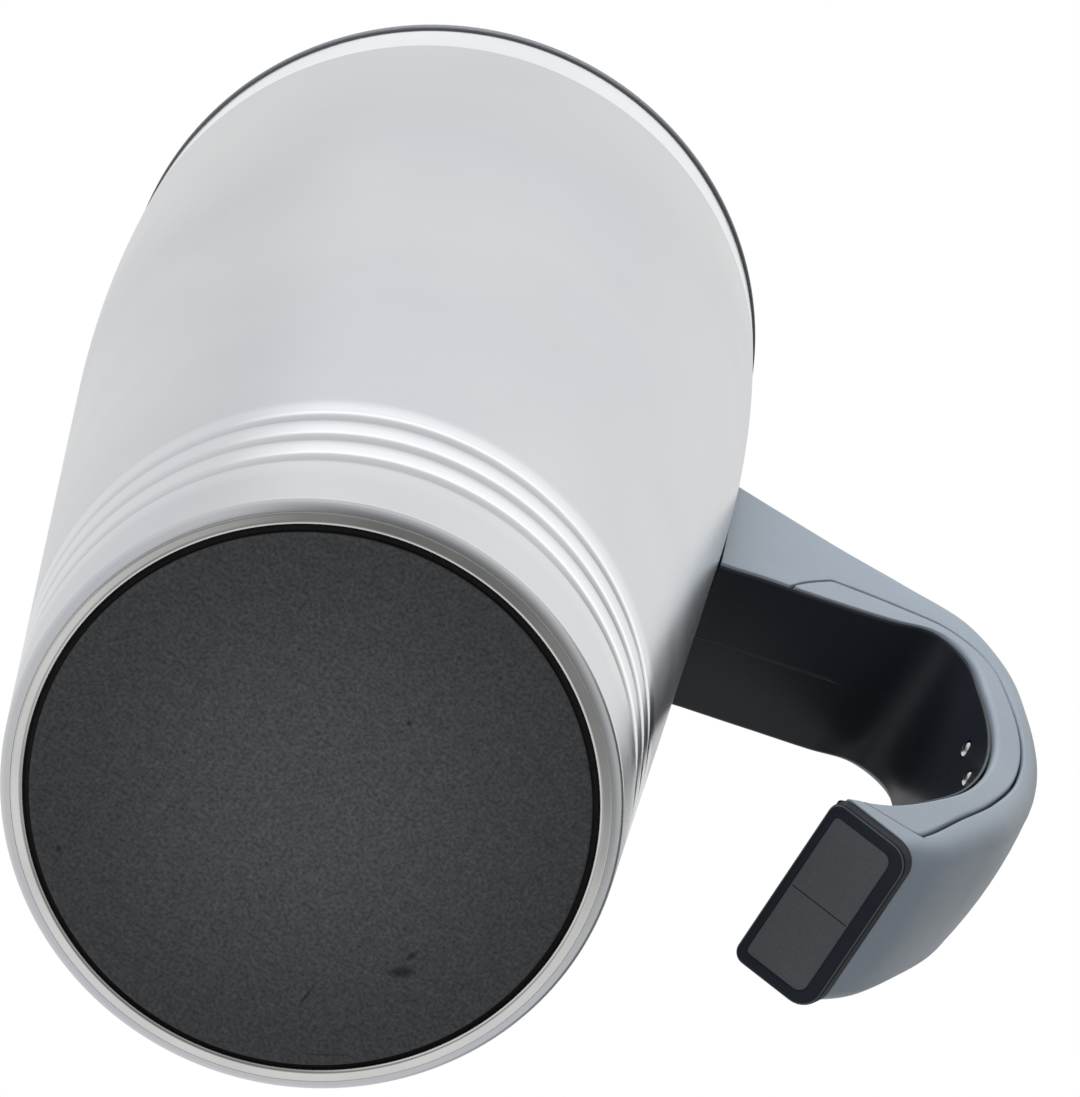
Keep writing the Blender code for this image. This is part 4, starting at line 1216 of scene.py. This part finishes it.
def moulded(name, colours, base, fineness, depth, gloss, change, specks=0.03, specular=0.5, lift=1,
            wear_and_highlight=None, marks=None, drift=28):
    """Moulded plastic, rubber or foam: a drifting colour, fine grain, smudges and lighter edges.

    The settings are the colour, the grain's fineness and its depth in millimetres, the range of
    the roughness, how much the colour changes, the specks' contrast, the specular level, how much
    the colour is lifted, how much lighter the edges are (partly from use, partly a painted
    highlight), a group of marks (the pad's also paints shade toward its edge), and the scale of
    the colour's change.
    """
    made = Finish(name, Specular_IOR_Level=specular)
    base = [c * lift for c in getattr(colours, base)]
    grain = made.group("Fine Grain", Fineness=fineness)
    speck = stretch(made.tree, grain["Specks"], 0, 1, 1 - specks, 1 + specks)
    tone = made.tinted(made.drift(*shades(base, change), drift), speck)
    if marks:
        tone = made.tinted(tone, made.group(marks)["Tone"])
    # Lighter convex edges: partly rubbed by use, partly a painted highlight where edges catch light
    if wear_and_highlight:
        lighter_edges = made.group("Edge Wear And Highlight", Start=0.54, Full=0.66)["Mask"]
        tone = mix_colours(made.tree, lighter_edges, tone, [c * wear_and_highlight for c in base])
    made.feed(Base_Color=tone, Roughness=made.smudges(50, *gloss))
    made.bump(grain["Height"], depth * MM, 0.5)
    return made.material


# Each finish: what makes it, and its settings in the order that its maker takes them
FINISHES = {
    "satin_steel": (wall_steel,),
    "polished_steel": (turned_steel, "polished", 0.03, 60, 3200, 0.04, 80, (0.12, 0.19), 0.01, 0.2),
    "base_steel": (turned_steel, "base", 0.05, 90, 3200, 0.05, 90, (0.16, 0.24), 0.01, 0.2),
    "liner_steel": (turned_steel, "steel", 0.05, 30, 1500, 0.10, 60, (0.24, 0.36), 0.03, 0.4),
    "plated_screw": (small_steel,),
    # The slate's last setting makes its edges lighter: partly a painted highlight
    "slate_plastic": (moulded, "slate", 3800, 0.02, (0.36, 0.46), 0.05, 0.05, 0.3, 1, 1.15),
    "lid_plastic": (moulded, "lid", 3800, 0.02, (0.40, 0.50), 0.05, 0.05, 0.25),
    "black_plastic": (moulded, "black", 3200, 0.02, (0.26, 0.40), 0.12, 0.10, 0.25),
    "cap_border": (moulded, "black", 3200, 0.02, (0.42, 0.52), 0.12, 0.10, 0.04, 1.2),
    "cap_panel": (moulded, "panel", 2600, 0.04, (0.55, 0.68), 0.08, 0.14),
    # The pad's group of marks also paints shade toward its edge
    "pad_rubber": (moulded, "rubber", 2300, 0.06, (0.66, 0.80), 0.08, 0.45, 0.25, 1, None,
                   "Pad Marks", 640),
    # Painted shade: the black of the pad's side and of the sheet under the gap
    "pad_glue": (moulded, "glue", 1600, 0.04, (0.6, 0.8), 0.15, 0.2, 0.1),
    "silicone": (moulded, "silicone", 2600, 0.01, (0.38, 0.50), 0.04),
    "foam": (moulded, "foam", 700, 0.25, (0.85, 0.95), 0.10, 0.16),
}


def finish(name):
    """The named finish, made the first time that it is asked for."""
    full_name = f"{name}_finish"
    if full_name in bpy.data.materials:
        return bpy.data.materials[full_name]
    maker, *settings = FINISHES[name]
    return maker(full_name, bpy.context.scene.mug_colours, *settings)


# Studio

# The world's bands: where each fades in and out, as the sine of the angle above the horizon
GROUND_BACK = (-0.96, -0.85)
GROUND_FRONT = (-0.95, -0.5)
HORIZON = (-0.3, 0.05)
OVERHEAD = (0.93, 0.99)
WINDOW = ((0.75, 0.81), (0.90, 0.87))
FRONT_SHADE = ((0.02, 0.15), (0.81, 0.73))
SIDE_SHADE = ((-0.1, 0.1), (0.8, 0.5))

# Bearings of the dark ground, the window and the side's shade: degrees from +X toward +Y, and the
# cosines of the angles off that bearing between which the effect fades in
GROUND_BEARING = (-60, 0, 0.4)
WINDOW_BEARING = (-72, 0, 0.45)
SIDE_BEARING = (0, 0.5, 0.9)

# The lamps: direction from the cup's middle, distance, size and power
LAMPS = {
    "key": ((-0.30, -0.70, 0.65), 0.22, 0.16, 0.76),
    "over": ((0.1, 0.2, 1.0), 1.3, 0.9, 4.0),
    "under": ((-0.2, -0.3, -1.0), 1.1, 0.8, 9.0),
}
CUP_MIDDLE = Vector((0, 0, 90 * MM))
SENSOR_WIDTH = 36
CAMERA_CLIP = (0.01, 20)
FLOOR_GAP = 0.3 * MM


def studio_world(stage):
    """White to the camera, and a soft sky over a darker ground for everything else."""
    world = bpy.data.worlds.new("studio")
    bpy.context.scene.world = world
    world.use_nodes = True
    tree = world.node_tree
    plain = tree.nodes["Background"]
    feed(tree, plain, {"Color": (1, 1, 1)})
    way = node(tree, "ShaderNodeTexCoord").outputs["Generated"]
    rise = node(tree, "ShaderNodeSeparateXYZ", {"Vector": way}).outputs["Z"]
    flat = vectors(tree, "MULTIPLY", way, {1: (1, 1, 0)})["Vector"]
    bearing = vectors(tree, "NORMALIZE", flat)["Vector"]

    def facing(degrees, low, high):
        """A mask of the directions that face a compass bearing from +X toward +Y."""
        angle = math.radians(degrees)
        toward = (math.cos(angle), math.sin(angle), 0)
        return stretch(tree, vectors(tree, "DOT_PRODUCT", bearing, {1: toward})["Value"], low, high)

    def band(fades, height):
        return times(tree, *(stretch(tree, rise, *fade) for fade in fades), height)

    def blended(first, second, share):
        step = maths(tree, "SUBTRACT", second, first)
        return maths(tree, "ADD", first, times(tree, share, step))

    behind = stretch(tree, rise, *GROUND_BACK, stage.ground_under, stage.ground_back)
    front = stretch(tree, rise, *GROUND_FRONT, stage.ground_front, stage.ground_far)
    below = blended(behind, front, facing(*GROUND_BEARING))
    above = stretch(tree, rise, *OVERHEAD, stage.sky, stage.sky_top)
    strength = blended(below, above, stretch(tree, rise, *HORIZON))
    window, shade = band(WINDOW, stage.window), band(FRONT_SHADE, stage.front_shade)
    change = times(tree, facing(*WINDOW_BEARING), maths(tree, "SUBTRACT", window, shade))
    strength = maths(tree, "ADD", strength, change)
    side = times(tree, facing(*SIDE_BEARING), band(SIDE_SHADE, stage.side_shade))
    soft = node(tree, "ShaderNodeBackground", {"Strength": maths(tree, "SUBTRACT", strength, side)})
    mixed = node(tree, "ShaderNodeMixShader", {
        0: node(tree, "ShaderNodeLightPath").outputs["Is Camera Ray"],
        1: soft.outputs["Background"], 2: plain.outputs["Background"]})
    feed(tree, tree.nodes["World Output"], {"Surface": mixed.outputs["Shader"]})


def studio_floor(stage, colours):
    """A round pale floor that the camera sees from above; light and a view from below pass it."""
    data = bmesh.new()
    bmesh.ops.create_circle(data, cap_ends=True, radius=stage.floor_radius, segments=96)
    mesh = bpy.data.meshes.new("floor")
    data.to_mesh(mesh)
    data.free()
    floor = loose_object(mesh)
    floor.location.z = -FLOOR_GAP
    made = Finish("studio_floor", Base_Color=colours.floor, Roughness=0.8)
    mixed = node(made.tree, "ShaderNodeMixShader", {
        0: node(made.tree, "ShaderNodeNewGeometry").outputs["Backfacing"],
        1: made.tree.nodes["Principled BSDF"].outputs["BSDF"],
        2: node(made.tree, "ShaderNodeBsdfTransparent").outputs["BSDF"]})
    feed(made.tree, made.tree.nodes["Material Output"], {"Surface": mixed.outputs["Shader"]})
    mesh.materials.append(made.material)
    floor.visible_diffuse = floor.visible_glossy = floor.visible_shadow = False


def soft_lamp(name, direction, distance, size, power):
    """A square area lamp that looks at the middle of the cup and isn't seen in the steel."""
    data = bpy.data.lights.new(name, "AREA")
    data.size = size
    data.energy = power
    lamp = bpy.data.objects.new(name, data)
    lamp.visible_glossy = lamp.visible_camera = False
    away = Vector(direction).normalized()
    lamp.location = CUP_MIDDLE + away * distance
    lamp.rotation_euler = away.to_track_quat("Z", "Y").to_euler()
    bpy.context.scene.collection.objects.link(lamp)


class MUG_OT_studio(Operator):
    """Make the floor, the lamps, the world and the camera"""
    bl_idname = "mug.studio"
    bl_label = "Studio"

    def execute(self, context):
        stage = context.scene.mug_stage
        studio_world(stage)
        studio_floor(stage, context.scene.mug_colours)
        for name, place in LAMPS.items():
            soft_lamp(name, *place)
        data = bpy.data.cameras.new("camera")
        data.lens = stage.lens
        data.sensor_width = SENSOR_WIDTH
        data.clip_start, data.clip_end = CAMERA_CLIP
        camera = bpy.data.objects.new("camera", data)
        camera.location = stage.camera_place
        camera.rotation_euler = Euler(stage.camera_turn)
        context.scene.collection.objects.link(camera)
        context.scene.camera = camera
        context.scene.view_settings.view_transform = "Standard"
        return {"FINISHED"}


OPERATORS = (MUG_OT_wall, MUG_OT_rim, MUG_OT_liner, MUG_OT_base, MUG_OT_handle, MUG_OT_screws,
             MUG_OT_end_cap, MUG_OT_lid, MUG_OT_slider, MUG_OT_inside, MUG_OT_studio)
SETTINGS = (("mug_cup", CupSizes), ("mug_handle", HandleSizes), ("mug_lid", LidSizes),
            ("mug_colours", FinishColours), ("mug_stage", StageSizes))


class MUG_PT_panel(Panel):
    """Buttons that build the mug piece by piece"""
    bl_idname = "MUG_PT_panel"
    bl_label = "Insulated Mug"
    bl_space_type = "VIEW_3D"
    bl_region_type = "UI"
    bl_category = "Mug"

    def draw(self, context):
        for operator in OPERATORS:
            self.layout.operator(operator.bl_idname)
        for name, group in SETTINGS:
            box = self.layout.box()
            for key in group.__annotations__:
                label = key.replace("_", " ").capitalize()
                box.prop(getattr(context.scene, name), key, text=label)


def register():
    for name, group in SETTINGS:
        bpy.utils.register_class(group)
        setattr(bpy.types.Scene, name, PointerProperty(type=group))
    for operator in OPERATORS:
        bpy.utils.register_class(operator)
    bpy.utils.register_class(MUG_PT_panel)


def unregister():
    bpy.utils.unregister_class(MUG_PT_panel)
    for operator in reversed(OPERATORS):
        bpy.utils.unregister_class(operator)
    for name, group in reversed(SETTINGS):
        delattr(bpy.types.Scene, name)
        bpy.utils.unregister_class(group)


def main():
    register()
    for operator in OPERATORS:
        getattr(bpy.ops.mug, operator.bl_idname.split(".")[1])()


if __name__ == "__main__":
    main()
